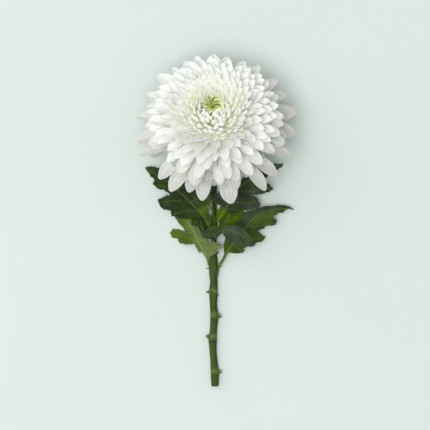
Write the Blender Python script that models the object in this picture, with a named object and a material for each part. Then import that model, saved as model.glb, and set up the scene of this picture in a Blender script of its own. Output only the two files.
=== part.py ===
"""Disbud chrysanthemum: one cut stem with a large white bloom and seven lobed leaves.

The flower lies on its back on a table. +Z is up, the bloom faces up and +Y runs from the cut
foot of the stem to the top of the bloom. The origin is at the middle of the whole flower, on
the table. All lengths are in metres and all angles in radians.
"""

import math
import random

import bmesh
import bpy
from mathutils import Matrix, Vector
from mathutils.geometry import delaunay_2d_cdt

MM = 0.001
SEED = 7
GAP = 0.3 * MM
SMOOTH_ANGLE = math.radians(45)

# Plan: places are pixels of a 430 pixel square picture seen from straight above the table
PIXEL = 0.8075 * MM
EYE_HEIGHT = 1400 * MM
PLAN_MIDDLE = (215.0, 215.0)
PLAN_MIDDLE_PLACE = (-1.65 * MM, 6.39 * MM)

# Bloom
BLOOM_PLACE = (216.0, 130.0)
BLOOM_HEIGHT = 43.5 * MM
BLOOM_FACING = (-0.06, 0.405, 0.912)
BLOOM_RADIUS = 58.5 * MM
EYE_DIP = 11 * MM
EYE_DIP_SPREAD = math.radians(26)
CORE_RADIUS = 33 * MM
CORE_BACK = 15 * MM
CORE_BACK_RADIUS = 11 * MM
CORE_SHOULDER = (0.62, 0.8)
CORE_SIDES = 20
CORE_RINGS = 5

# Petals stand on a spiral from the back of the bloom to its eye; angles are from its axis
OUTER_ANGLE = math.radians(117)
INNER_ANGLE = math.radians(13)
FIRST_TURN = math.radians(90)
GOLDEN_TURN = math.radians(137.508)
OUTER_SPACING = 14.8 * MM
INNER_SPACING = 4.6 * MM
SPACING_ANGLE = math.radians(85)
REACH_JITTER = 1.0 * MM
RIM_CLEARANCE = math.radians(6.5)
NOTCH_ROW = 160.0
NOTCH_REACH = 62.0

# Petal midline: roots deep in the core, tips leaning in at the eye, most on its stem side, and
# bent back outside it
ROOT_OUT = 21 * MM
ROOT_AHEAD = 28 * MM
ROOT_OUT_RATE = 0.9
ROOT_AHEAD_RATE = 0.95
START_LEAN = math.radians(14)
START_RATE = 0.74
START_HANDLE = 0.38
TIP_HANDLE = 0.3
EYE_LEANS = (math.radians(-34), math.radians(-64))
STEM_SIDE = (-0.7, 0.3)
OUTER_BEND = math.radians(22)
BEND_ANGLES = (math.radians(22), math.radians(56))

# Petal blade: stations are shares of its length with shares of its widest half width
PETAL_THICK = 1.2 * MM
OUTER_HALF_WIDTH = 5.8 * MM
INNER_HALF_WIDTH = 1.9 * MM
WIDEST_ANGLE = math.radians(100)
INNER_CUP = 0.75
OUTER_CUP = 0.4
PETAL_STATIONS = ((0.0, 0.45), (0.42, 0.85), (0.72, 1.0), (0.9, 0.66))

# Petals that would go through the table lie on it, the outer ones lowest
FLOOR_ROUND = 2 * MM
FLOOR_STEP = 6 * MM

# Eye: young green florets on a low disc; shares are of the eye's radius and the disc's height
EYE_RADIUS = 7 * MM
EYE_DISC = 4 * MM
EYE_PROFILE = ((0.5, 0.9), (0.8, 0.5), (0.7, 0.0))
EYE_SIDES = 12
FLORETS = 21
FLORET_LENGTH = 13.5 * MM
FLORET_RADIUS = 1.0 * MM
FLORET_SIDES = 4
FLORET_FOOT = (0.72, 0.3)
FLORET_TIP = 0.5
FLORET_TAPER = 0.4
INNER_FLORET = 0.75

# Calyx: cup of bracts behind the bloom; shares are of its radius and its length
CALYX_RADIUS = 13.5 * MM
CALYX_LENGTH = 8 * MM
CALYX_PROFILE = ((0.75, 0.0), (1.0, 0.02), (0.86, 0.32), (0.5, 0.75), (0.26, 1.0))
CALYX_BRACTS = 13
BRACT_NOTCH = 0.09

# Stem
STEM_RADIUS = 3.0 * MM
NECK_RADIUS = 2.1 * MM
STEM_SIDES = 12
NECK_HANDLE = 24 * MM
NECK_STEPS = 9
NECK_FOOT = (214.0, 196.0)
STEM_LINE = (
    (214.2, 208.0), (214.2, 226.0), (214.0, 246.0), (214.0, 262.0), (214.0, 268.5), (213.8, 277.7),
    (213.4, 292.0), (213.4, 305.5), (214.2, 315.0), (213.6, 328.6), (212.7, 339.0), (213.0, 350.0),
    (213.9, 361.0), (214.6, 372.0), (215.0, 386.0),
)
NODE_PLACES = (229.0, 266.0, 293.0, 317.0, 339.0, 373.0)
NODE_SWELL = 0.55 * MM
NODE_LENGTH = 5.0

# Stubs of cut petioles, small stipules and a side shoot: foot and tip, each a pixel and a
# height, and the radii of both ends
STUBS = (
    ((212.5, 292.5, 3.2 * MM), (206.0, 292.0, 3.2 * MM), (1.6 * MM, 0.6 * MM)),
    ((214.5, 294.0, 3.2 * MM), (218.4, 295.5, 3.2 * MM), (1.6 * MM, 0.9 * MM)),
    ((213.0, 319.5, 3.4 * MM), (220.6, 315.2, 4.0 * MM), (1.9 * MM, 1.5 * MM)),
    ((213.0, 341.0, 3.4 * MM), (206.4, 335.4, 4.0 * MM), (2.0 * MM, 1.2 * MM)),
    ((214.0, 375.0, 3.4 * MM), (220.8, 371.0, 4.0 * MM), (1.9 * MM, 1.5 * MM)),
    ((212.0, 268.5, 3.2 * MM), (205.0, 268.5, 3.2 * MM), (0.9 * MM, 0.3 * MM)),
    ((216.0, 268.6, 3.2 * MM), (221.6, 270.0, 2.6 * MM), (0.9 * MM, 0.3 * MM)),
    ((216.0, 253.5, 3.2 * MM), (219.6, 252.3, 3.2 * MM), (0.8 * MM, 0.3 * MM)),
    ((214.8, 222.5, 4.2 * MM), (209.6, 202.5, 12.6 * MM), (1.3 * MM, 1.0 * MM)),
)
STUB_SIDES = 6

# Leaves
LEAF_THICK = 0.8 * MM
PETIOLE_THICK = 1.8 * MM
PETIOLE_LENGTH = 10 * MM
LEAF_GRID = 8.0
GRID_ROW = 0.87
GRID_CLEARANCE = 0.4
LEAF_FLOOR = 0.6 * MM
WAVES = 17.0
WAVE_FULL = 8 * MM
DROOP_AT = 10 * MM
TILT_SHARES = (0.1, 0.6)

# Tips of the petals that make the bloom's outline, from the top round by the left, and of the
# petals in front of them over the stem
RIM_TIPS = (
    (213.7, 54.5), (195.8, 56.2), (184.7, 61.7), (172.4, 67.3), (158.5, 74.6), (156.8, 87.4),
    (144.5, 95.2), (136.7, 117.5), (137.8, 141.0), (140.0, 154.4), (159.6, 179.0), (170.7, 191.2),
    (189.2, 192.3), (201.4, 200.1), (231.0, 203.5), (265.6, 190.1), (276.2, 176.7), (291.8, 158.8),
    (295.7, 133.2), (295.7, 112.0), (285.1, 94.1), (277.3, 80.7), (259.5, 66.2), (245.0, 61.7),
    (227.0, 57.3),
)
FRONT_TIPS = (
    (183.0, 181.0), (205.7, 187.3), (217.8, 180.2), (223.2, 188.4), (237.0, 183.5), (252.3, 173.1),
)
FRONT_RISE = 8 * MM


def clear_scene():
    """Removes the objects that the file opened with."""
    for item in list(bpy.data.objects):
        bpy.data.objects.remove(item, do_unlink=True)


def seen(px, py, height):
    """Place at a height that the eye above the table sees at a plan pixel."""
    scale = PIXEL * (EYE_HEIGHT - height) / (EYE_HEIGHT - BLOOM_HEIGHT)
    x = PLAN_MIDDLE_PLACE[0] + (px - PLAN_MIDDLE[0]) * scale
    y = PLAN_MIDDLE_PLACE[1] + (PLAN_MIDDLE[1] - py) * scale
    return Vector((x, y, height))


def pixel_of(place):
    """Plan pixel at which the eye above the table sees a place."""
    scale = PIXEL * (EYE_HEIGHT - place.z) / (EYE_HEIGHT - BLOOM_HEIGHT)
    px = PLAN_MIDDLE[0] + (place.x - PLAN_MIDDLE_PLACE[0]) / scale
    py = PLAN_MIDDLE[1] - (place.y - PLAN_MIDDLE_PLACE[1]) / scale
    return px, py


def mix(low, high, share):
    """Value between two others."""
    return low + (high - low) * share


def smooth_share(value, start, end):
    """Share from 0 to 1 that eases from start to end."""
    share = min(1.0, max(0.0, (value - start) / (end - start)))
    return share * share * (3.0 - 2.0 * share)


def material(name, colour, roughness):
    """Plain finish with the piece's colour."""
    finish = bpy.data.materials.new(name)
    finish.use_nodes = True
    shader = finish.node_tree.nodes["Principled BSDF"]
    shader.inputs["Base Color"].default_value = (*colour, 1.0)
    shader.inputs["Roughness"].default_value = roughness
    return finish


def mesh_object(name, verts, faces, finish):
    """New object in the scene from points and faces."""
    mesh = bpy.data.meshes.new(name)
    mesh.from_pydata([tuple(v) for v in verts], [], faces)
    mesh.update()
    item = bpy.data.objects.new(name, mesh)
    item.data.materials.append(finish)
    bpy.context.scene.collection.objects.link(item)
    return item


def lathe(profile, sides, notches=()):
    """Points and faces of a turned solid, from its top pole to its bottom one.

    notches gives, ring by ring, how far every second point of the ring is drawn in.
    """
    verts = [Vector((0.0, 0.0, profile[0][1]))]
    for ring, (radius, height) in enumerate(profile[1:-1]):
        notch = notches[ring] if ring < len(notches) else 0.0
        for side in range(sides):
            turn = 2 * math.pi * side / sides
            here = radius * (1.0 + notch * (1 if side % 2 else -1))
            verts.append(Vector((here * math.cos(turn), here * math.sin(turn), height)))
    verts.append(Vector((0.0, 0.0, profile[-1][1])))
    faces = []
    rings = len(profile) - 2
    last = len(verts) - 1
    for side in range(sides):
        after = (side + 1) % sides
        faces.append((0, 1 + side, 1 + after))
        for ring in range(rings - 1):
            high = 1 + ring * sides
            low = high + sides
            faces.append((high + side, low + side, low + after, high + after))
        base = 1 + (rings - 1) * sides
        faces.append((last, base + after, base + side))
    return verts, faces


def outer_skin(mesh):
    """Keeps the largest closed skin and drops loose scraps and the walls of sealed hollows."""
    work = bmesh.new()
    work.from_mesh(mesh)
    todo = set(work.verts)
    islands = []
    while todo:
        island = set()
        front = [todo.pop()]
        while front:
            vert = front.pop()
            island.add(vert)
            for edge in vert.link_edges:
                other = edge.other_vert(vert)
                if other in todo:
                    todo.discard(other)
                    front.append(other)
        islands.append(island)
    islands.sort(key=len, reverse=True)
    for island in islands[1:]:
        bmesh.ops.delete(work, geom=list(island), context="VERTS")
    work.to_mesh(mesh)
    work.free()


def fuse(base, parts):
    """Joins the parts to the base by one Boolean union and removes them."""
    group = bpy.data.collections.new(base.name + "_parts")
    bpy.context.scene.collection.children.link(group)
    for part in parts:
        bpy.context.scene.collection.objects.unlink(part)
        group.objects.link(part)
    union = base.modifiers.new("union", "BOOLEAN")
    union.operation = "UNION"
    union.operand_type = "COLLECTION"
    union.collection = group
    union.solver = "EXACT"
    depsgraph = bpy.context.evaluated_depsgraph_get()
    joined = bpy.data.meshes.new_from_object(base.evaluated_get(depsgraph))
    base.modifiers.clear()
    base.data = joined
    for part in parts:
        bpy.data.objects.remove(part, do_unlink=True)
    bpy.data.collections.remove(group)
    outer_skin(base.data)


# Bloom

def bloom_frame():
    """Matrix from the bloom's own frame, facing its +Z, to the table."""
    facing = Vector(BLOOM_FACING).normalized()
    side = Vector((1.0, 0.0, 0.0))
    side = (side - facing * side.dot(facing)).normalized()
    up = facing.cross(side)
    turn = Matrix((side, up, facing)).transposed().to_4x4()
    return Matrix.Translation(seen(*BLOOM_PLACE, BLOOM_HEIGHT)) @ turn


def petal_reach(angle):
    """Distance of the petal tips from the bloom's centre, less in the eye."""
    return BLOOM_RADIUS - EYE_DIP * math.exp(-((angle / EYE_DIP_SPREAD) ** 2))


def spacing(angle):
    """Distance between petal tips at an angle from the bloom's axis."""
    return mix(INNER_SPACING, OUTER_SPACING, min(1.0, angle / SPACING_ANGLE))


def slope(angle):
    """Direction at an angle from the axis, as outward and forward parts."""
    return Vector((math.sin(angle), math.cos(angle)))


def petal_midline(angle, turn, radius):
    """Root, handles and tip of a petal's midline, as outward and forward lengths."""
    out = ROOT_OUT * math.sin(ROOT_OUT_RATE * angle)
    ahead = ROOT_AHEAD * math.cos(ROOT_AHEAD_RATE * angle)
    root = Vector((out, ahead))
    tip = slope(angle) * radius
    length = (tip - root).length
    start_turn = START_LEAN + START_RATE * angle
    inward = mix(*EYE_LEANS, smooth_share(-math.sin(turn), *STEM_SIDE))
    end_turn = angle + mix(inward, OUTER_BEND, smooth_share(angle, *BEND_ANGLES))
    first = root + slope(start_turn) * START_HANDLE * length
    second = tip - slope(end_turn) * TIP_HANDLE * length
    return root, first, second, tip


def bezier(points, share):
    """Place and direction on a cubic curve."""
    a, b, c, d = points
    rest = 1.0 - share
    place = a * rest ** 3 + b * 3 * rest ** 2 * share + c * 3 * rest * share ** 2 + d * share ** 3
    along = (b - a) * rest ** 2 + (c - b) * 2 * rest * share + (d - c) * share ** 2
    return place, along.normalized()


def pressed(place, floor):
    """Bends a place that would be under the floor level smoothly on to it."""
    over = (place.z - floor) / FLOOR_ROUND
    lift = max(over, 0.0) + math.log1p(math.exp(-abs(over)))
    return Vector((place.x, place.y, floor + FLOOR_ROUND * lift))


def petal(angle, turn, radius, frame, finish):
    """One cupped petal: a closed blade of four-cornered sections that ends in a point."""
    midline = petal_midline(angle, turn, radius)
    outer = smooth_share(angle, 0.0, WIDEST_ANGLE)
    half_width = mix(INNER_HALF_WIDTH, OUTER_HALF_WIDTH, outer)
    cup = mix(INNER_CUP, OUTER_CUP, outer)
    floor = PETAL_THICK / 2 + FLOOR_STEP * max(0.0, OUTER_ANGLE - angle)
    out = Vector((math.cos(turn), math.sin(turn), 0.0))
    across = Vector((-math.sin(turn), math.cos(turn), 0.0))
    ahead = Vector((0.0, 0.0, 1.0))
    verts = []
    for share, width in PETAL_STATIONS:
        place, along = bezier(midline, share)
        centre = out * place.x + ahead * place.y
        face = ahead * along.x - out * along.y
        half = half_width * width
        lift = face * cup * half * share
        left = pressed(frame @ (centre - across * half + lift), floor)
        right = pressed(frame @ (centre + across * half + lift), floor)
        middle = pressed(frame @ centre, floor)
        thick = (frame.to_3x3() @ face) * PETAL_THICK / 2
        verts += [left, middle - thick, right, middle + thick]
    place, along = bezier(midline, 1.0)
    verts.append(pressed(frame @ (out * place.x + ahead * place.y), floor))
    faces = [(3, 2, 1, 0)]
    last = len(PETAL_STATIONS) - 1
    for ring in range(last):
        for corner in range(4):
            a = ring * 4 + corner
            b = ring * 4 + (corner + 1) % 4
            faces.append((a, b, b + 4, a + 4))
    for corner in range(4):
        faces.append((last * 4 + corner, last * 4 + (corner + 1) % 4, len(verts) - 1))
    return mesh_object("petal", verts, faces, finish)


def rim_petals(frame):
    """Angle, turn and radius of the petals whose tips are given by their plan pixels."""
    tips = [seen(*pixel, BLOOM_HEIGHT) for pixel in RIM_TIPS]
    tips += [seen(*pixel, BLOOM_HEIGHT + FRONT_RISE) for pixel in FRONT_TIPS]
    places = []
    for tip in [frame.inverted() @ tip for tip in tips]:
        places.append((tip.angle(Vector((0.0, 0.0, 1.0))), math.atan2(tip.y, tip.x), tip.length))
    return places


def direction(angle, turn):
    """Direction in the bloom's frame."""
    out = math.sin(angle)
    return Vector((out * math.cos(turn), out * math.sin(turn), math.cos(angle)))


def in_notch(tip):
    """True where a tip would fill the notches between the outline's petals over the stem."""
    px, py = pixel_of(tip)
    return py > NOTCH_ROW and math.dist((px, py), BLOOM_PLACE) > NOTCH_REACH


def petal_places(frame):
    """Angle, turn and radius of every petal: the outline first, then a spiral to the eye."""
    places = rim_petals(frame)
    rim = [direction(angle, turn) for angle, turn, _ in places]
    angle = OUTER_ANGLE
    turn = FIRST_TURN
    while angle > INNER_ANGLE:
        here = direction(angle, turn)
        reach = petal_reach(angle) + random.uniform(-1, 1) * REACH_JITTER
        clear = min(here.angle(other) for other in rim) > RIM_CLEARANCE
        if clear and not in_notch(frame @ (here * reach)):
            places.append((angle, turn, reach))
        angle -= spacing(angle) ** 2 / (2 * math.pi * BLOOM_RADIUS ** 2 * math.sin(angle))
        turn += GOLDEN_TURN
    return places


def core_profile():
    """Front dome and shallow back of the core, from its front pole."""
    profile = [(0.0, CORE_RADIUS)]
    for step in range(1, CORE_RINGS + 1):
        angle = 0.5 * math.pi * step / CORE_RINGS
        profile.append((CORE_RADIUS * math.sin(angle), CORE_RADIUS * math.cos(angle)))
    profile.append((CORE_SHOULDER[0] * CORE_RADIUS, -CORE_SHOULDER[1] * CORE_BACK))
    profile.append((CORE_BACK_RADIUS, -CORE_BACK))
    profile.append((0.0, -CORE_BACK))
    return profile


def build_bloom():
    """White petals fused to their core."""
    finish = material("petal_white", (0.86, 0.87, 0.82), 0.6)
    frame = bloom_frame()
    verts, faces = lathe(core_profile(), CORE_SIDES)
    bloom = mesh_object("bloom_petals", [frame @ v for v in verts], faces, finish)
    petals = [petal(*place, frame, finish) for place in petal_places(frame)]
    fuse(bloom, petals)
    bloom.data.shade_smooth()
    bloom.data.set_sharp_from_angle(angle=SMOOTH_ANGLE)


# Eye, calyx and stem

def cone(name, foot, tip, radii, sides, finish):
    """Closed tapered peg between two places."""
    along = (tip - foot).normalized()
    side = along.orthogonal().normalized()
    other = along.cross(side)
    verts = []
    for place, radius in zip((foot, tip), radii):
        for step in range(sides):
            turn = 2 * math.pi * step / sides
            verts.append(place + (side * math.cos(turn) + other * math.sin(turn)) * radius)
    faces = [tuple(reversed(range(sides))), tuple(range(sides, 2 * sides))]
    for step in range(sides):
        after = (step + 1) % sides
        faces.append((step, after, sides + after, sides + step))
    return mesh_object(name, verts, faces, finish)


def build_eye():
    """Green florets leaning in over the middle of the bloom."""
    finish = material("eye_green", (0.55, 0.62, 0.22), 0.6)
    frame = bloom_frame()
    low = CORE_RADIUS + GAP
    profile = [(0.0, low + EYE_DISC)]
    profile += [(EYE_RADIUS * out, low + EYE_DISC * rise) for out, rise in EYE_PROFILE]
    profile.append((0.0, low))
    verts, faces = lathe(profile, EYE_SIDES)
    eye = mesh_object("eye_florets", [frame @ v for v in verts], faces, finish)
    ahead = Vector((0.0, 0.0, 1.0))
    florets = []
    for index in range(FLORETS):
        share = math.sqrt((index + 0.5) / FLORETS)
        turn = index * GOLDEN_TURN
        out = Vector((math.cos(turn), math.sin(turn), 0.0))
        size = mix(INNER_FLORET, 1.0, share)
        foot = out * FLORET_FOOT[0] * EYE_RADIUS * share + ahead * (low + FLORET_FOOT[1] * EYE_DISC)
        tip = out * FLORET_TIP * EYE_RADIUS * share + ahead * (low + size * FLORET_LENGTH)
        radii = (size * FLORET_RADIUS, size * FLORET_RADIUS * FLORET_TAPER)
        florets.append(cone("floret", frame @ foot, frame @ tip, radii, FLORET_SIDES, finish))
    fuse(eye, florets)


def build_calyx():
    """Cup of green bracts between the stem and the petals."""
    finish = material("calyx_green", (0.18, 0.26, 0.08), 0.65)
    frame = bloom_frame()
    top = -CORE_BACK - GAP
    low = top - CALYX_LENGTH
    profile = [(0.0, top)]
    profile += [(CALYX_RADIUS * out, mix(top, low, back)) for out, back in CALYX_PROFILE]
    profile.append((0.0, low))
    verts, faces = lathe(profile, 2 * CALYX_BRACTS, (0.0, BRACT_NOTCH, 0.5 * BRACT_NOTCH))
    mesh_object("calyx", [frame @ v for v in verts], faces, finish)


def stem_radius(py):
    """Radius along the stem: thicker to the foot and swollen at the nodes."""
    radius = mix(NECK_RADIUS, STEM_RADIUS, smooth_share(py, 244.0, 268.0))
    for node in NODE_PLACES:
        radius += NODE_SWELL * math.exp(-(((py - node) / NODE_LENGTH) ** 2))
    return radius


def stem_line():
    """Places and radii along the stem, from the calyx to the cut foot."""
    frame = bloom_frame()
    top = frame @ Vector((0.0, 0.0, -CORE_BACK - CALYX_LENGTH - 2 * GAP))
    foot = seen(*NECK_FOOT, NECK_RADIUS)
    back = -(frame.to_3x3() @ Vector((0.0, 0.0, 1.0)))
    neck = (top, top + back * NECK_HANDLE, foot + Vector((0.0, NECK_HANDLE, 0.0)), foot)
    line = [(bezier(neck, step / NECK_STEPS)[0], NECK_RADIUS) for step in range(NECK_STEPS + 1)]
    for px, py in STEM_LINE:
        radius = stem_radius(py)
        line.append((seen(px, py, radius), radius))
    return line


def tube(name, line, sides, finish):
    """Closed round tube through places with a radius each."""
    verts = []
    side = Vector((1.0, 0.0, 0.0))
    for index, (place, radius) in enumerate(line):
        before = line[max(0, index - 1)][0]
        after = line[min(len(line) - 1, index + 1)][0]
        along = (after - before).normalized()
        side = (side - along * side.dot(along)).normalized()
        other = along.cross(side)
        for step in range(sides):
            turn = 2 * math.pi * step / sides
            verts.append(place + (side * math.cos(turn) + other * math.sin(turn)) * radius)
    faces = [tuple(reversed(range(sides))), tuple(range(len(verts) - sides, len(verts)))]
    for ring in range(len(line) - 1):
        for step in range(sides):
            a = ring * sides + step
            b = ring * sides + (step + 1) % sides
            faces.append((a, b, b + sides, a + sides))
    return mesh_object(name, verts, faces, finish)


def build_stem():
    """Stem with its nodes, petiole stubs and stipules in one solid."""
    finish = material("stem_green", (0.10, 0.15, 0.045), 0.5)
    stem = tube("stem", stem_line(), STEM_SIDES, finish)
    stubs = []
    for foot, tip, radii in STUBS:
        stubs.append(cone("stub", seen(*foot), seen(*tip), radii, STUB_SIDES, finish))
    fuse(stem, stubs)
    stem.data.shade_smooth()
    stem.data.set_sharp_from_angle(angle=SMOOTH_ANGLE)


# Leaves

class Leaf:
    """Leaf drawn on the plan: its outline, its midrib with heights, and how its halves tilt."""

    def __init__(self, name, midrib, outline, tilt=((0.1, 0.1), (0.1, 0.1)), droop=(0.0, 0.0),
                 wave=0.6):
        self.name = name
        self.midrib = midrib
        self.outline = outline
        self.tilt = tilt
        self.droop = droop
        self.wave = wave

    def nearest(self, px, py):
        """Share along the midrib, signed distance to its left in pixels, and its height there."""
        best = None
        run = 0.0
        for (ax, ay, az), (bx, by, bz) in zip(self.midrib, self.midrib[1:]):
            span = math.hypot(bx - ax, by - ay)
            share = ((px - ax) * (bx - ax) + (py - ay) * (by - ay)) / span ** 2
            share = min(1.0, max(0.0, share))
            nx, ny = mix(ax, bx, share), mix(ay, by, share)
            away = math.hypot(px - nx, py - ny)
            turn = (bx - ax) * (py - ay) - (by - ay) * (px - ax)
            if best is None or away < best[0]:
                best = (away, run + span * share, -away if turn > 0 else away, mix(az, bz, share))
            run += span
        return best[1] / run, best[2], best[3]

    def height(self, px, py):
        """Height of the blade's middle surface over a plan pixel."""
        share, side, base = self.nearest(px, py)
        half = 0 if side > 0 else 1
        away = abs(side) * PIXEL
        ripple = self.wave * MM * math.sin(WAVES * share + 2.0 * half) * min(1.0, away / WAVE_FULL)
        tilt = mix(*self.tilt[half], smooth_share(share, *TILT_SHARES))
        droop = self.droop[half] * away ** 2 / DROOP_AT
        return max(LEAF_FLOOR, base * MM + tilt * away - droop + ripple)

    def thickness(self, px, py):
        """Thickness over a plan pixel, more at the petiole."""
        share, _, _ = self.nearest(px, py)
        length = sum(math.dist(a[:2], b[:2]) for a, b in zip(self.midrib, self.midrib[1:]))
        run = share * length * PIXEL
        return mix(PETIOLE_THICK, LEAF_THICK, smooth_share(run, 0.0, PETIOLE_LENGTH))

    def plan_points(self):
        """Outline, midrib and inner points in the plan."""
        points = [Vector(p) for p in self.outline]
        border = len(points)
        xs = [p[0] for p in self.outline]
        ys = [p[1] for p in self.outline]
        spots = [Vector(p[:2]) for p in self.midrib[1:-1]]
        row = 0
        y = min(ys) + LEAF_GRID / 2
        while y < max(ys):
            x = min(xs) + LEAF_GRID * (0.25 if row % 2 else 0.75)
            while x < max(xs):
                spots.append(Vector((x, y)))
                x += LEAF_GRID
            y += LEAF_GRID * GRID_ROW
            row += 1
        for spot in spots:
            clear = min((spot - p).length for p in points)
            if clear > GRID_CLEARANCE * LEAF_GRID and inside(spot, self.outline):
                points.append(spot)
        return points, border

    def build(self, finish):
        """Blade with thickness, triangulated alike on both faces."""
        points, border = self.plan_points()
        rim = [(i, (i + 1) % border) for i in range(border)]
        flat, _, triangles, _, _, _ = delaunay_2d_cdt(points, rim, [list(range(border))], 1, 1e-5)
        middle = [seen(p.x, p.y, self.height(p.x, p.y)) for p in flat]
        triangles = [tuple(t) for t in triangles]
        work = bpy.data.meshes.new("work")
        work.from_pydata(middle, [], triangles)
        work.update()
        normals = [v.normal.copy() for v in work.vertices]
        if sum(n.z for n in normals) < 0:
            triangles = [tuple(reversed(t)) for t in triangles]
            normals = [-n for n in normals]
        count = len(flat)
        half = [self.thickness(p.x, p.y) / 2 for p in flat]
        upper = [p + n * h for p, n, h in zip(middle, normals, half)]
        lower = [p - n * h for p, n, h in zip(middle, normals, half)]
        faces = list(triangles)
        faces += [tuple(count + i for i in reversed(t)) for t in triangles]
        sides = [pair for a, b, c in triangles for pair in ((a, b), (b, c), (c, a))]
        paired = set(sides)
        for a, b in sides:
            if (b, a) not in paired:
                faces += [(b, a, count + a), (b, count + a, count + b)]
        bpy.data.meshes.remove(work)
        return mesh_object(self.name, upper + lower, faces, finish)


def inside(spot, outline):
    """True where a plan point lies inside a closed outline."""
    odd = False
    for (ax, ay), (bx, by) in zip(outline, outline[1:] + outline[:1]):
        if (ay > spot.y) != (by > spot.y) and spot.x < (bx - ax) * (spot.y - ay) / (by - ay) + ax:
            odd = not odd
    return odd


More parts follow.
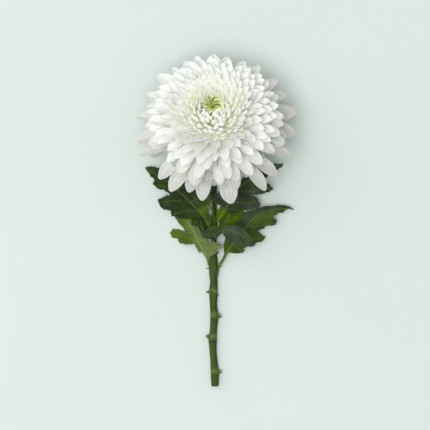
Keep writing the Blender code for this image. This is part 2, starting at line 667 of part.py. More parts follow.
LEAVES = (
    Leaf(
        "leaf_upper_left",
        midrib=((211.0, 231.0, 3.9), (208.0, 225.0, 6.2), (204.0, 217.0, 8.0), (194.0, 206.0, 9.5),
                (184.0, 196.0, 10.5), (165.0, 180.0, 10.0), (144.2, 167.2, 7.0)),
        outline=((211.1, 232.0), (206.4, 226.5), (202.0, 220.5), (195.0, 219.0), (184.0, 219.0),
                 (175.7, 216.8), (171.3, 216.0), (170.8, 210.6), (162.1, 209.0), (157.2, 199.8),
                 (166.4, 195.4), (171.3, 194.9), (163.2, 189.5), (157.8, 188.9), (152.3, 184.0),
                 (155.0, 180.2), (151.3, 177.0), (149.1, 173.7), (144.2, 167.2), (151.3, 166.1),
                 (158.9, 168.3), (166.0, 166.5), (171.0, 174.0), (183.0, 169.0), (191.0, 176.0),
                 (200.0, 178.5), (206.0, 179.5), (210.0, 184.0), (211.2, 190.0), (210.0, 196.0),
                 (209.5, 200.0), (209.6, 203.8), (206.2, 207.5), (209.8, 209.5), (207.7, 212.2),
                 (211.2, 216.6), (211.1, 229.5)),
        tilt=((-0.05, -0.05), (0.12, 0.12)), droop=(0.10, 0.0), wave=0.7),
    Leaf(
        "leaf_small_left",
        midrib=((210.9, 236.0, 3.1), (206.0, 233.5, 3.6), (202.0, 229.0, 3.8), (200.5, 221.0, 4.0),
                (198.5, 211.0, 3.6)),
        outline=((210.8, 237.5), (205.4, 235.8), (202.0, 232.8), (197.5, 227.0), (191.5, 224.5),
                 (191.0, 218.0), (188.5, 214.0), (192.0, 209.5), (198.5, 208.0), (204.5, 210.5),
                 (205.3, 216.0), (207.8, 220.0), (206.2, 226.0), (208.6, 231.6), (210.7, 234.5)),
        tilt=((0.0, 0.0), (0.0, 0.0)), wave=0.2),
    Leaf(
        "leaf_lower_left",
        midrib=((208.4, 265.0, 3.6), (206.8, 258.5, 4.8), (204.0, 252.0, 5.2), (198.0, 242.0, 5.2),
                (194.0, 232.0, 3.8), (189.0, 225.0, 2.6), (186.0, 215.5, 1.8), (182.0, 204.0, 1.3)),
        outline=((207.4, 265.2), (206.6, 259.5), (202.2, 252.3), (199.5, 252.9), (196.8, 249.1),
                 (194.1, 243.7), (186.0, 244.8), (178.4, 242.6), (178.4, 239.3), (172.4, 237.7),
                 (169.5, 232.8), (173.0, 229.0), (178.4, 229.0), (186.5, 231.7), (179.5, 224.2),
                 (175.1, 218.2), (173.5, 210.0), (179.0, 204.5), (182.0, 201.5), (186.5, 206.0),
                 (188.0, 213.0), (191.5, 219.0), (195.2, 225.8), (200.2, 232.2), (203.4, 237.2),
                 (207.4, 239.0), (208.3, 242.0), (210.8, 242.8), (213.4, 240.8), (216.6, 243.2),
                 (223.2, 245.0), (220.2, 246.4), (222.4, 247.9), (216.9, 249.6), (217.5, 252.0),
                 (212.5, 255.5), (209.5, 257.5), (208.9, 261.0),
                 (209.2, 265.0)),
        tilt=((-0.02, -0.02), (1.0, -0.1)), droop=(0.04, 0.10), wave=0.5),
    Leaf(
        "leaf_lower_right",
        midrib=((218.9, 266.0, 3.6), (226.0, 254.5, 4.6), (233.0, 243.0, 6.4), (244.0, 229.0, 8.4),
                (255.0, 217.0, 9.6), (264.0, 212.0, 10.4), (280.0, 208.4, 9.5), (294.9, 210.0, 6.0)),
        outline=((218.2, 264.8), (222.5, 258.0), (224.4, 253.4), (223.4, 247.0), (224.5, 239.3),
                 (231.5, 238.0), (234.0, 231.0), (235.0, 223.0), (240.5, 219.5), (243.5, 213.5),
                 (249.0, 210.8), (255.9, 209.8), (260.8, 207.3), (270.5, 205.7), (279.2, 204.6),
                 (287.9, 205.7), (294.9, 210.0), (286.8, 209.0), (283.0, 212.8), (278.7, 212.8),
                 (273.2, 216.6), (277.0, 220.9), (274.9, 225.2), (266.7, 225.8), (263.0, 229.0),
                 (252.6, 231.2), (257.5, 230.9), (265.7, 237.2), (262.9, 241.0), (255.4, 243.1),
                 (253.7, 246.4), (247.0, 246.5), (244.0, 248.0), (244.0, 252.3), (235.8, 253.4),
                 (228.4, 252.5), (224.6, 259.5), (219.4, 267.4)),
        tilt=((-0.12, -0.12), (-0.02, -0.02)), droop=(0.06, 0.12), wave=0.7),
    Leaf(
        "leaf_small_right",
        midrib=((217.7, 234.0, 3.4), (223.0, 226.5, 3.4), (230.0, 213.5, 3.9), (237.0, 203.0, 3.5)),
        outline=((217.6, 232.0), (218.2, 228.0), (218.7, 223.5), (220.4, 216.5), (221.4, 209.0),
                 (224.5, 205.0), (228.5, 199.0), (233.5, 202.0), (237.0, 196.5), (243.0, 203.0),
                 (242.0, 209.0), (246.5, 214.5), (240.0, 220.5), (240.5, 227.0), (232.0, 229.0),
                 (227.0, 234.5), (221.5, 231.5), (218.2, 236.0)),
        tilt=((0.02, 0.02), (-0.02, -0.02)), wave=0.3),
    Leaf(
        "leaf_upper_right",
        midrib=((216.9, 221.5, 3.9), (221.0, 216.0, 8.4), (226.0, 208.0, 9.7), (238.0, 190.0, 12.0),
                (243.0, 184.6, 12.2), (262.0, 172.0, 11.0), (283.8, 163.4, 7.0)),
        outline=((216.9, 219.5), (216.5, 214.0), (216.7, 209.9), (219.6, 208.6), (221.2, 205.2),
                 (217.2, 204.4), (212.3, 202.4), (210.2, 198.4), (212.6, 194.2), (218.4, 193.4),
                 (221.0, 188.0), (228.0, 182.0), (236.0, 183.0), (235.0, 174.0), (242.0, 169.5),
                 (250.0, 172.5), (256.0, 164.0), (266.0, 161.5), (273.2, 164.0), (283.8, 163.0),
                 (281.9, 167.2), (276.0, 170.5), (268.5, 173.5), (267.5, 177.2), (263.5, 179.4), (257.5, 183.5),
                 (265.7, 183.0), (270.0, 184.6), (273.2, 188.9), (268.9, 192.2), (261.5, 194.3),
                 (249.9, 194.5), (256.4, 197.0), (260.8, 203.6), (259.7, 205.7), (256.4, 210.0),
                 (250.0, 210.4), (241.0, 210.5), (233.0, 213.0), (225.0, 214.5), (217.6, 223.2)),
        tilt=((0.10, 0.10), (0.08, 0.08)), droop=(0.0, 0.03), wave=0.6),
    Leaf(
        "leaf_front",
        midrib=((214.0, 240.5, 5.4), (214.4, 236.5, 12.6), (218.0, 231.5, 20.0), (227.0, 229.5, 28.0),
                (237.0, 232.5, 32.5), (246.0, 239.0, 33.0), (253.4, 246.0, 29.5)),
        outline=((213.1, 240.4), (211.4, 238.4), (205.0, 237.4), (200.6, 234.2), (205.5, 230.1),
                 (209.8, 226.9), (215.2, 225.8), (221.7, 226.5), (231.5, 225.2), (239.1, 226.3),
                 (244.5, 229.6), (249.5, 235.0), (252.1, 239.3), (254.3, 245.3), (251.6, 246.9),
                 (247.8, 245.8), (243.4, 245.8), (242.3, 247.7), (233.1, 241.5), (225.6, 238.6),
                 (222.8, 232.6), (218.4, 235.4), (216.4, 238.4), (215.2, 240.4)),
        tilt=((-0.15, -0.15), (-0.35, -0.35)), droop=(0.12, 0.5), wave=0.5),
)


def build_leaves():
    """All seven leaves."""
    finish = material("leaf_green", (0.045, 0.085, 0.02), 0.5)
    for leaf in LEAVES:
        leaf.build(finish)


def main():
    """Builds the flower."""
    random.seed(SEED)
    clear_scene()
    build_bloom()
    build_eye()
    build_calyx()
    build_stem()
    build_leaves()


main()
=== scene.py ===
import logging
import math
import random
from collections.abc import Callable, Iterator
from dataclasses import dataclass, field, replace
from enum import Enum

import bmesh
import bpy
import numpy as np
from mathutils import Matrix, Vector
from mathutils.geometry import delaunay_2d_cdt

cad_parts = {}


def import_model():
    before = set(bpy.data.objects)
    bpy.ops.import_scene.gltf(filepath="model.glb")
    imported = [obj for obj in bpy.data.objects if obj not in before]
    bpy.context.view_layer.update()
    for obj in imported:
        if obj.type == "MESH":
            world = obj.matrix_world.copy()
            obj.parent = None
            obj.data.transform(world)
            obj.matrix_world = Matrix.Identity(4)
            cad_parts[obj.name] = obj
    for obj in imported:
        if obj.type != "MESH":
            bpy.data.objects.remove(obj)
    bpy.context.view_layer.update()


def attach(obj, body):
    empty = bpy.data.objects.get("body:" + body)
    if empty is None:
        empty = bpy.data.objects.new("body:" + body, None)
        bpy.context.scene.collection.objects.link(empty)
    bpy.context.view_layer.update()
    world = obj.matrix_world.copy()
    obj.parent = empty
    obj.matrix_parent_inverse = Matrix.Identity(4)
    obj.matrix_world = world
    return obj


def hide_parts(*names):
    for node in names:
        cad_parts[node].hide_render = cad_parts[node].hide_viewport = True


MM = 0.001
SEED = 7
MIX_INPUTS = (0, 6, 7)
MIX_RESULT = 2

Pair = tuple[float, float]
Triple = tuple[float, float, float]
Pixel = Pair
Colour = Triple
Number = float | np.ndarray
Item = bpy.types.Object
Socket = bpy.types.NodeSocket
LOG = logging.getLogger("chrysanthemum")


def mix(low: Number, high: Number, share: Number) -> Number:
    """Return the value at a share of the way from low to high."""
    return low + (high - low) * share


def ease(value: Number, start: float, end: float) -> Number:
    """Return a share that eases from 0 to 1 as a value goes from start to end."""
    share = np.clip((value - start) / (end - start), 0.0, 1.0)
    return share * share * (3.0 - 2.0 * share)


def swell(value: Number, middle: Number, spread: float) -> Number:
    """Return 1 where a value is at the middle, falling smoothly to 0 past the spread."""
    return np.exp(-(((value - middle) / spread) ** 2))


def cubic(curve: np.ndarray | tuple[Vector, ...], share: Number) -> np.ndarray | Vector:
    """Find a point of a cubic curve.

    Args:
        curve: Its four points.
        share: How far along it the point is, from 0 to 1.

    Returns:
        The point, or one for each share.
    """
    a, b, c, d = curve
    rest = 1.0 - share
    return a * rest ** 3 + 3 * b * rest ** 2 * share + 3 * c * rest * share ** 2 + d * share ** 3


def catmull(points: np.ndarray, where: float) -> np.ndarray:
    """Find a point of a smooth curve through points.

    Args:
        points: What the curve goes through.
        where: How far along it the point is, counted in points.

    Returns:
        The point.
    """
    index = min(int(where), len(points) - 2)
    share = where - index
    before, start = points[max(0, index - 1)], points[index]
    end, after = points[index + 1], points[min(len(points) - 1, index + 2)]
    return 0.5 * (2 * start + (end - before) * share
                  + (2 * before - 5 * start + 4 * end - after) * share ** 2
                  + (3 * start - before - 3 * end + after) * share ** 3)


def runs_of(points: np.ndarray) -> np.ndarray:
    """Return the length along a line from its first point to each."""
    return np.concatenate([[0.0], np.cumsum(np.linalg.norm(np.diff(points, axis=0), axis=1))])


@dataclass(frozen=True)
class Plan:
    """The view from straight above the table, in pixels of a 430 pixel square picture."""

    pixel: float = 0.8075 * MM
    eye_height: float = 1400 * MM
    middle: Pixel = (215.0, 215.0)
    middle_place: Pair = (-1.65 * MM, 6.39 * MM)
    true_height: float = 43.5 * MM
    picture: float = 430.0

    def scale(self, height: Number) -> Number:
        """Return how many metres a pixel covers at a height."""
        return self.pixel * (self.eye_height - height) / (self.eye_height - self.true_height)

    def seen(self, px: float, py: float, height: float) -> Vector:
        """Return what the eye sees at a pixel, at a height over the table in metres."""
        return Vector(self.seen_all(np.array([[px, py]]), np.array([height]))[0])

    def seen_all(self, pixels: np.ndarray, heights: np.ndarray) -> np.ndarray:
        """Find what the eye sees at many pixels.

        Args:
            pixels: Columns and rows, one pair to a line.
            heights: A height for each pair.

        Returns:
            The places, one to a line.
        """
        scale = self.scale(heights)
        x = self.middle_place[0] + (pixels[:, 0] - self.middle[0]) * scale
        y = self.middle_place[1] + (self.middle[1] - pixels[:, 1]) * scale
        return np.stack([x, y, heights], axis=1)

    def row_of(self, y: Number, height: Number) -> Number:
        """Return the pixel row at which the eye sees a place."""
        return self.middle[1] - (y - self.middle_place[1]) / self.scale(height)

    def pixel_of(self, place: Vector) -> Pixel:
        """Return the pixel at which the eye sees a place."""
        px = self.middle[0] + (place.x - self.middle_place[0]) / self.scale(place.z)
        return px, self.row_of(place.y, place.z)


PLAN = Plan()


class Graph:
    """Node graph of one finish, round its Principled shader."""

    def __init__(self, name: str, **values: Number | tuple) -> None:
        """Start a material.

        Args:
            name: Name of the material.
            values: Constant values of the shader's own sockets, with _ for a space.
        """
        self.material = bpy.data.materials.new(name)
        self.material.use_nodes = True
        self.tree = self.material.node_tree
        self.shader = self.tree.nodes["Principled BSDF"]
        for socket, value in values.items():
            self.shader.inputs[socket.replace("_", " ")].default_value = value
        self.place = self.node("ShaderNodeTexCoord").outputs["Object"]

    def node(self, kind: str, inputs: dict | None = None, **settings: str) -> bpy.types.Node:
        """Add a node.

        Args:
            kind: Its type.
            inputs: Sockets or constants for its inputs, by name or number.
            settings: Its settings by name.

        Returns:
            The node.
        """
        made = self.tree.nodes.new(kind)
        for name, value in settings.items():
            setattr(made, name, value)
        for name, value in (inputs or {}).items():
            self.put(made.inputs[name], value)
        return made

    def put(self, socket: Socket, value: Socket | Number | tuple) -> None:
        """Link another socket to an input, or set its constant.

        Args:
            socket: The input.
            value: What it gets.
        """
        if isinstance(value, Socket):
            self.tree.links.new(value, socket)
        elif isinstance(value, tuple) and len(value) == 3 and socket.type == "RGBA":
            socket.default_value = (*value, 1.0)
        else:
            socket.default_value = value

    def attribute(self, name: str) -> Socket:
        """Return the value that the mesh holds under a name."""
        return self.node("ShaderNodeAttribute", attribute_name=name).outputs["Fac"]

    def noise(self, scale: float, detail: float = 3.0, stretch: Triple = (1.0, 1.0, 1.0),
              vector: Socket | None = None) -> Socket:
        """Add a noise pattern.

        Args:
            scale: Number of features to a metre.
            detail: Levels of finer noise.
            stretch: Scale along each axis on top of that.
            vector: Coordinates to read, the object's own by default.

        Returns:
            The pattern's value, about 0.5 in the middle.
        """
        mapping = self.node("ShaderNodeMapping", {"Scale": stretch, "Vector": vector or self.place})
        inputs = {"Scale": scale, "Detail": detail, "Vector": mapping.outputs["Vector"]}
        return self.node("ShaderNodeTexNoise", inputs).outputs["Fac"]

    def range(self, value: Socket, low: float, high: float, to_low: float = 0.0,
              to_high: float = 1.0) -> Socket:
        """Return a value eased from one span over another, without going past it."""
        inputs = {"Value": value, "From Min": low, "From Max": high, "To Min": to_low, "To Max": to_high}
        return self.node("ShaderNodeMapRange", inputs, interpolation_type="SMOOTHSTEP").outputs["Result"]

    def math(self, operation: str, first: Socket, second: Socket | float) -> Socket:
        """Return the result of a sum on two values."""
        return self.node("ShaderNodeMath", {0: first, 1: second}, operation=operation).outputs[0]

    def blend(self, share: Socket | float, first: Socket | Colour, second: Socket | Colour,
              kind: str = "MIX") -> Socket:
        """Return the first colour with a share of the second mixed in."""
        inputs = dict(zip(MIX_INPUTS, (share, first, second)))
        return self.node("ShaderNodeMix", inputs, data_type="RGBA", blend_type=kind).outputs[MIX_RESULT]

    def ramp(self, value: Socket, first: Colour, *steps: tuple[Pair, Colour]) -> Socket:
        """Go through colours as a value grows.

        Args:
            value: What the colour goes by.
            first: Colour at the start.
            steps: Further colours, each with the span over which it comes in.

        Returns:
            The colour.
        """
        for span, colour in steps:
            first = self.blend(self.range(value, *span), first, colour)
        return first

    def bump(self, height: Socket, strength: float, distance: float) -> None:
        """Give the shader small relief from a pattern."""
        made = self.node("ShaderNodeBump", {"Strength": strength, "Distance": distance, "Height": height})
        self.put(self.shader.inputs["Normal"], made.outputs["Normal"])

    def colour(self, value: Socket) -> None:
        """Give the shader its base colour."""
        self.put(self.shader.inputs["Base Color"], value)

    def roughness(self, value: Socket) -> None:
        """Give the shader its roughness."""
        self.put(self.shader.inputs["Roughness"], value)


@dataclass(frozen=True)
class PetalFinish:
    """Soft petal skin: fine lengthwise grooves, more green toward the heart of the bloom, and a grey
    painted shade on the outer petals.
    """

    name: str = "petal_skin"
    # painted shade: the grey that the outer petals are given, darker than their own white
    rim: Colour = (0.555, 0.552, 0.532)
    tip: Colour = (0.875, 0.872, 0.845)
    cream: Colour = (0.985, 0.983, 0.93)
    heart: Colour = (0.982, 0.988, 0.84)
    to_tip: Pair = (-0.3, 0.06)
    to_cream: Pair = (0.06, 0.5)
    to_heart: Pair = (0.4, 1.0)
    mottles: float = 180.0
    mottling: float = 0.12
    mottle_span: Pair = (0.2, 0.8)
    groove: Colour = (0.80, 0.805, 0.785)
    groove_stretch: Triple = (15.0, 1.6, 1.0)
    groove_span: Pair = (0.35, 0.62)
    groove_tones: Pair = (0.8, 0.0)
    groove_fade: tuple[float, ...] = (0.1, 0.5, 1.0, 0.15)
    relief: Pair = (0.7, 0.6 * MM)
    glow: float = 0.8
    glow_depth: float = 1.4 * MM
    glow_tint: Triple = (1.0, 0.95, 0.7)
    gloss: float = 0.3
    rough: Pair = (0.5, 0.68)

    def make(self) -> bpy.types.Material:
        """Return the material."""
        graph = Graph(self.name, Subsurface_Weight=self.glow, Subsurface_Scale=self.glow_depth,
                      Subsurface_Radius=self.glow_tint, Specular_IOR_Level=self.gloss)
        mottle = graph.noise(self.mottles, 2.0)
        depth = graph.math("ADD", graph.attribute("tint"), graph.math("MULTIPLY", mottle, self.mottling))
        skin = graph.ramp(depth, self.rim, (self.to_tip, self.tip), (self.to_cream, self.cream),
                          (self.to_heart, self.heart))
        uv = graph.node("ShaderNodeUVMap", uv_map="UVMap").outputs["UV"]
        lines = graph.noise(1.0, 2.0, self.groove_stretch, uv)
        marks = graph.math("MULTIPLY", graph.range(lines, *self.groove_span, *self.groove_tones),
                           graph.range(depth, *self.groove_fade))
        graph.colour(graph.blend(marks, skin, self.groove, "MULTIPLY"))
        graph.bump(lines, *self.relief)
        graph.roughness(graph.range(mottle, *self.mottle_span, *self.rough))
        return graph.material


@dataclass(frozen=True)
class EyeFinish:
    """Young florets: darkest green deep in the eye's middle, partly their own green and partly painted
    shade, yellow-green round it and cream next to the petals.
    """

    name: str = "eye_skin"
    cream: Colour = (0.975, 0.98, 0.80)
    tip: Colour = (0.70, 0.76, 0.30)
    middle: Colour = (0.40, 0.50, 0.09)
    # deepest green, partly the florets' own and partly painted shade where they sink into the eye
    hollow_green_and_shade: Colour = (0.06, 0.11, 0.01)
    to_tip: Pair = (-0.25, 0.15)
    to_middle: Pair = (0.15, 0.5)
    to_hollow_green_and_shade: Pair = (0.5, 0.95)
    mottles: float = 400.0
    mottle_span: Pair = (0.2, 0.8)
    mottling: Pair = (-0.08, 0.08)
    rough: float = 0.5
    grain: float = 1500.0
    relief: Pair = (0.3, 0.2 * MM)
    glow: float = 0.15
    glow_depth: float = 1.0 * MM

    def make(self) -> bpy.types.Material:
        """Return the material."""
        graph = Graph(self.name, Roughness=self.rough, Subsurface_Weight=self.glow,
                      Subsurface_Scale=self.glow_depth)
        mottle = graph.range(graph.noise(self.mottles), *self.mottle_span, *self.mottling)
        depth = graph.math("ADD", graph.attribute("tint"), mottle)
        graph.colour(graph.ramp(depth, self.cream, (self.to_tip, self.tip), (self.to_middle, self.middle),
                                (self.to_hollow_green_and_shade, self.hollow_green_and_shade)))
        graph.bump(graph.noise(self.grain, 1.0), *self.relief)
        return graph.material


@dataclass(frozen=True)
class GreenFinish:
    """Leaf and stem skin: deep and fresh greens in patches, pale veins and a grey-blue sheen painted into
    the colour in patches.
    """

    name: str
    deep: Colour
    fresh: Colour
    pale: Colour
    vein: Colour
    pale_vein: Colour = (0.32, 0.38, 0.16)
    # painted sheen: grey-blue colour that stands in for the gloss reflecting the sky, which is kept low
    wax: Colour = (0.070, 0.084, 0.062)
    painted_sheen_patch: float = 70.0
    painted_sheen_range: tuple[float, ...] = (0.35, 0.65, 0.25, 1.0)
    rough: Pair = (0.55, 0.7)
    gloss: float = 0.05
    streaks: Triple = (1.0, 1.0, 1.0)
    patch: float = 110.0
    patch_span: Pair = (0.3, 0.7)
    patches: Pair = (-0.18, 0.26)
    grain: float = 900.0
    grain_most: float = 0.5
    grain_shade: Colour = (0.5, 0.5, 0.5)
    relief: float = 0.5
    relief_depth: float = 0.35 * MM
    vein_share: float = 0.55

    def make(self) -> bpy.types.Material:
        """Return the material."""
        graph = Graph(self.name, Specular_IOR_Level=self.gloss)
        patches = graph.noise(self.patch, 4.0, self.streaks)
        fine = graph.noise(self.grain, 2.0, self.streaks)
        patchy = graph.range(patches, *self.patch_span, *self.patches)
        share = graph.math("ADD", graph.attribute("fresh"), patchy)
        skin = graph.ramp(share, self.deep, ((0.0, 1.0), self.fresh))
        # painted sheen: grey-blue patches mixed into the colour stand in for the gloss that reflects the
        # sky
        painted_sheen_patches = graph.range(graph.noise(self.painted_sheen_patch, 2.0), *self.painted_sheen_range)
        skin = graph.blend(graph.math("MULTIPLY", graph.attribute("wax"), painted_sheen_patches), skin, self.wax)
        pale = graph.attribute("pale")
        skin = graph.blend(pale, skin, self.pale)
        shade = graph.range(fine, *self.patch_span, 0.0, self.grain_most)
        skin = graph.blend(shade, skin, self.grain_shade, "MULTIPLY")
        vein = graph.blend(pale, self.vein, self.pale_vein)
        share = graph.math("MULTIPLY", graph.attribute("vein"), self.vein_share)
        graph.colour(graph.blend(share, skin, vein))
        graph.roughness(graph.range(patches, *self.patch_span, *self.rough))
        graph.bump(fine, self.relief, self.relief_depth)
        return graph.material


@dataclass(frozen=True)
class FloorFinish:
    """Smooth pale studio floor."""

    name: str = "studio_floor"
    tone: Colour = (0.572, 0.634, 0.598)
    shade: Colour = (0.564, 0.625, 0.590)

    def make(self) -> bpy.types.Material:
        """Return the material."""
        graph = Graph(self.name, Roughness=0.9, Specular_IOR_Level=0.1)
        graph.colour(graph.blend(graph.range(graph.noise(6.0), 0.3, 0.7), self.tone, self.shade))
        return graph.material


def deselect() -> None:
    """Leave object mode with nothing selected."""
    if bpy.context.object and bpy.context.object.mode != "OBJECT":
        bpy.ops.object.mode_set(mode="OBJECT")
    bpy.ops.object.select_all(action="DESELECT")


def choose(*items: Item) -> None:
    """Select some objects alone and make the first one active.

    Args:
        items: The objects.
    """
    deselect()
    for item in items:
        item.select_set(True)
    bpy.context.view_layer.objects.active = items[0]


def points_of(item: Item) -> np.ndarray:
    """Read where an object's vertices are.

    Args:
        item: The object.

    Returns:
        Their places, one to a line.
    """
    flat = np.empty(len(item.data.vertices) * 3)
    item.data.vertices.foreach_get("co", flat)
    return flat.reshape(-1, 3)


def put_points(mesh: bpy.types.Mesh, points: np.ndarray) -> None:
    """Give a mesh's vertices new places."""
    mesh.vertices.foreach_set("co", points.astype(np.float64).ravel())
    mesh.update()


def put_values(mesh: bpy.types.Mesh, **values: Number) -> None:
    """Store values that the finishes read.

    Args:
        mesh: Mesh to give them to.
        values: One for all vertices or one for each, by name.
    """
    for name, value in values.items():
        layer = mesh.attributes.get(name) or mesh.attributes.new(name, "FLOAT", "POINT")
        layer.data.foreach_set("value", np.zeros(len(mesh.vertices)) + value)


def select_points(item: Item, test: Callable[[Vector], bool]) -> None:
    """Select in edit mode the vertices that pass a test, and nothing else.

    Args:
        item: Object that is edited.
        test: Tells by its place whether a vertex is selected.
    """
    bpy.ops.mesh.select_all(action="DESELECT")
    bpy.ops.mesh.select_mode(type="VERT")
    work = bmesh.from_edit_mesh(item.data)
    for vert in work.verts:
        vert.select_set(bool(test(vert.co)))
    work.select_flush(True)
    bmesh.update_edit_mesh(item.data)


def copy_of(master: Item, points: np.ndarray, values: dict[str, Number]) -> Item:
    """Copy a modelled piece with its own mesh.

    Args:
        master: Piece to copy.
        points: Places of the copy's vertices.
        values: Named values for its vertices.

    Returns:
        The copy, linked to the scene.
    """
    made = master.copy()
    made.data = master.data.copy()
    bpy.context.scene.collection.objects.link(made)
    put_points(made.data, points)
    put_values(made.data, **values)
    return made


def join(items: list[Item], name: str) -> Item:
    """Join objects into one.

    Args:
        items: The objects.
        name: Name of the joined one.

    Returns:
        The joined object.
    """
    choose(*items)
    bpy.ops.object.join()
    items[0].name = name
    items[0].data.name = name
    return items[0]


def settle(item: Item, finish: bpy.types.Material, slot: str, *nodes: str, smooth: float = 50.0) -> None:
    """Dress a finished piece and set it on the flower.

    Args:
        item: The piece.
        finish: Its material.
        slot: Material slot that it stands for; not used.
        nodes: Solids that it is shown in place of.
        smooth: Widest angle in degrees that is shaded smooth.
    """
    choose(item)
    bpy.ops.object.shade_smooth_by_angle(angle=math.radians(smooth))
    item.data.materials.clear()
    item.data.materials.append(finish)
    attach(item, "root")
    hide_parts(*nodes)
    item.data.calc_loop_triangles()
    LOG.info("%s: %d triangles", item.name, len(item.data.loop_triangles))


def ringed_tube(sides: int, rings: int, insets: tuple[float, ...] = (), sink: float = 0.0) -> Item:
    """Model a straight tube of radius 1 with rings along it.

    Args:
        sides: Number of its sides.
        rings: Number of its rings.
        insets: Widths of the borders drawn in on its upper end, from the outside in.
        sink: How far the middle of that end is then pushed in.

    Returns:
        The tube, from z = 0 to z = 1.
    """
    deselect()
    bpy.ops.mesh.primitive_cylinder_add(vertices=sides, radius=1.0, depth=1.0, location=(0.0, 0.0, 0.5))
    item = bpy.context.object
    bpy.ops.object.transform_apply(location=True)
    bpy.ops.object.mode_set(mode="EDIT")
    bpy.ops.mesh.select_all(action="DESELECT")
    bpy.ops.mesh.select_mode(type="EDGE")
    work = bmesh.from_edit_mesh(item.data)
    for edge in work.edges:
        edge.select_set(abs(edge.verts[0].co.z - edge.verts[1].co.z) > 0.5)
    bmesh.update_edit_mesh(item.data)
    bpy.ops.mesh.subdivide(number_cuts=rings)
    if insets:
        select_points(item, lambda place: place.z > 1.0 - 1e-5)
        bpy.ops.mesh.select_mode(type="FACE")
        for inset in insets:
            bpy.ops.mesh.inset(thickness=inset)
        bpy.ops.transform.translate(value=(0.0, 0.0, -sink))
    bpy.ops.object.mode_set(mode="OBJECT")
    return item


@dataclass(frozen=True)
class BladeShape:
    """Flat blade modelled once, one unit long and two wide at its widest, with its real thickness."""

    name: str
    columns: int
    rows: int
    thick: float
    base: float = 0.45
    widest: float = 0.76
    point: float = 0.55
    blunt: float = 0.2

    def width(self, share: float) -> float:
        """Find the blade's width.

        Args:
            share: Share of the length.

        Returns:
            The width there, as a share of the widest.
        """
        if share < self.widest:
            return mix(self.base, 1.0, float(ease(share, 0.0, self.widest)))
        over = (share - self.widest) / (1.0 - self.widest)
        return max(self.blunt, (1.0 - over ** 2) ** self.point)

    def model(self) -> Item:
        """Model the blade: a grid with its rows drawn in to the outline, then a skin with thickness.

        Returns:
            The blade, from y = 0 at its root to y = 1 at its tip.
        """
        deselect()
        bpy.ops.mesh.primitive_grid_add(x_subdivisions=self.columns, y_subdivisions=self.rows, size=2.0)
        item = bpy.context.object
        item.name = self.name
        bpy.ops.object.mode_set(mode="EDIT")
        bpy.ops.transform.resize(value=(1.0, 0.5, 1.0))
        bpy.ops.transform.translate(value=(0.0, 0.5, 0.0))
        for row in range(self.rows + 1):
            level = row / self.rows
            select_points(item, lambda place: abs(place.y - level) < 0.25 / self.rows)
            bpy.ops.transform.resize(value=(self.width(level), 1.0, 1.0),
                                     center_override=(0.0, level, 0.0))
        bpy.ops.object.mode_set(mode="OBJECT")
        choose(item)
        skin = item.modifiers.new("skin", "SOLIDIFY")
        skin.thickness = self.thick
        skin.offset = 0.0
        bpy.ops.object.modifier_apply(modifier=skin.name)
        return item

    def copies(self, name: str, spots: list, lay: Callable, *others: Item) -> Item:
        """Lay a copy of the blade at each of many spots and join them.

        Args:
            name: Name of the joined piece.
            spots: The spots.
            lay: Gives a copy's points and named values, from the flat blade's points and its spot.
            others: Pieces that the copies are joined to.

        Returns:
            The joined piece.
        """
        master = self.model()
        points = points_of(master)
        made = [*others, *(copy_of(master, *lay(points, spot)) for spot in spots)]
        bpy.data.objects.remove(master, do_unlink=True)
        return join(made, name)


@dataclass(frozen=True)
class BladePlace:
    """Where one petal or floret stands on the bloom, and its own form."""

    angle: float
    turn: float
    radius: float
    half: float
    cup: float
    heart: float
    curl: float = 0.0
    twist: float = 0.0
    sway: float = 0.0
    swirl: float = 0.0
    rim: bool = False


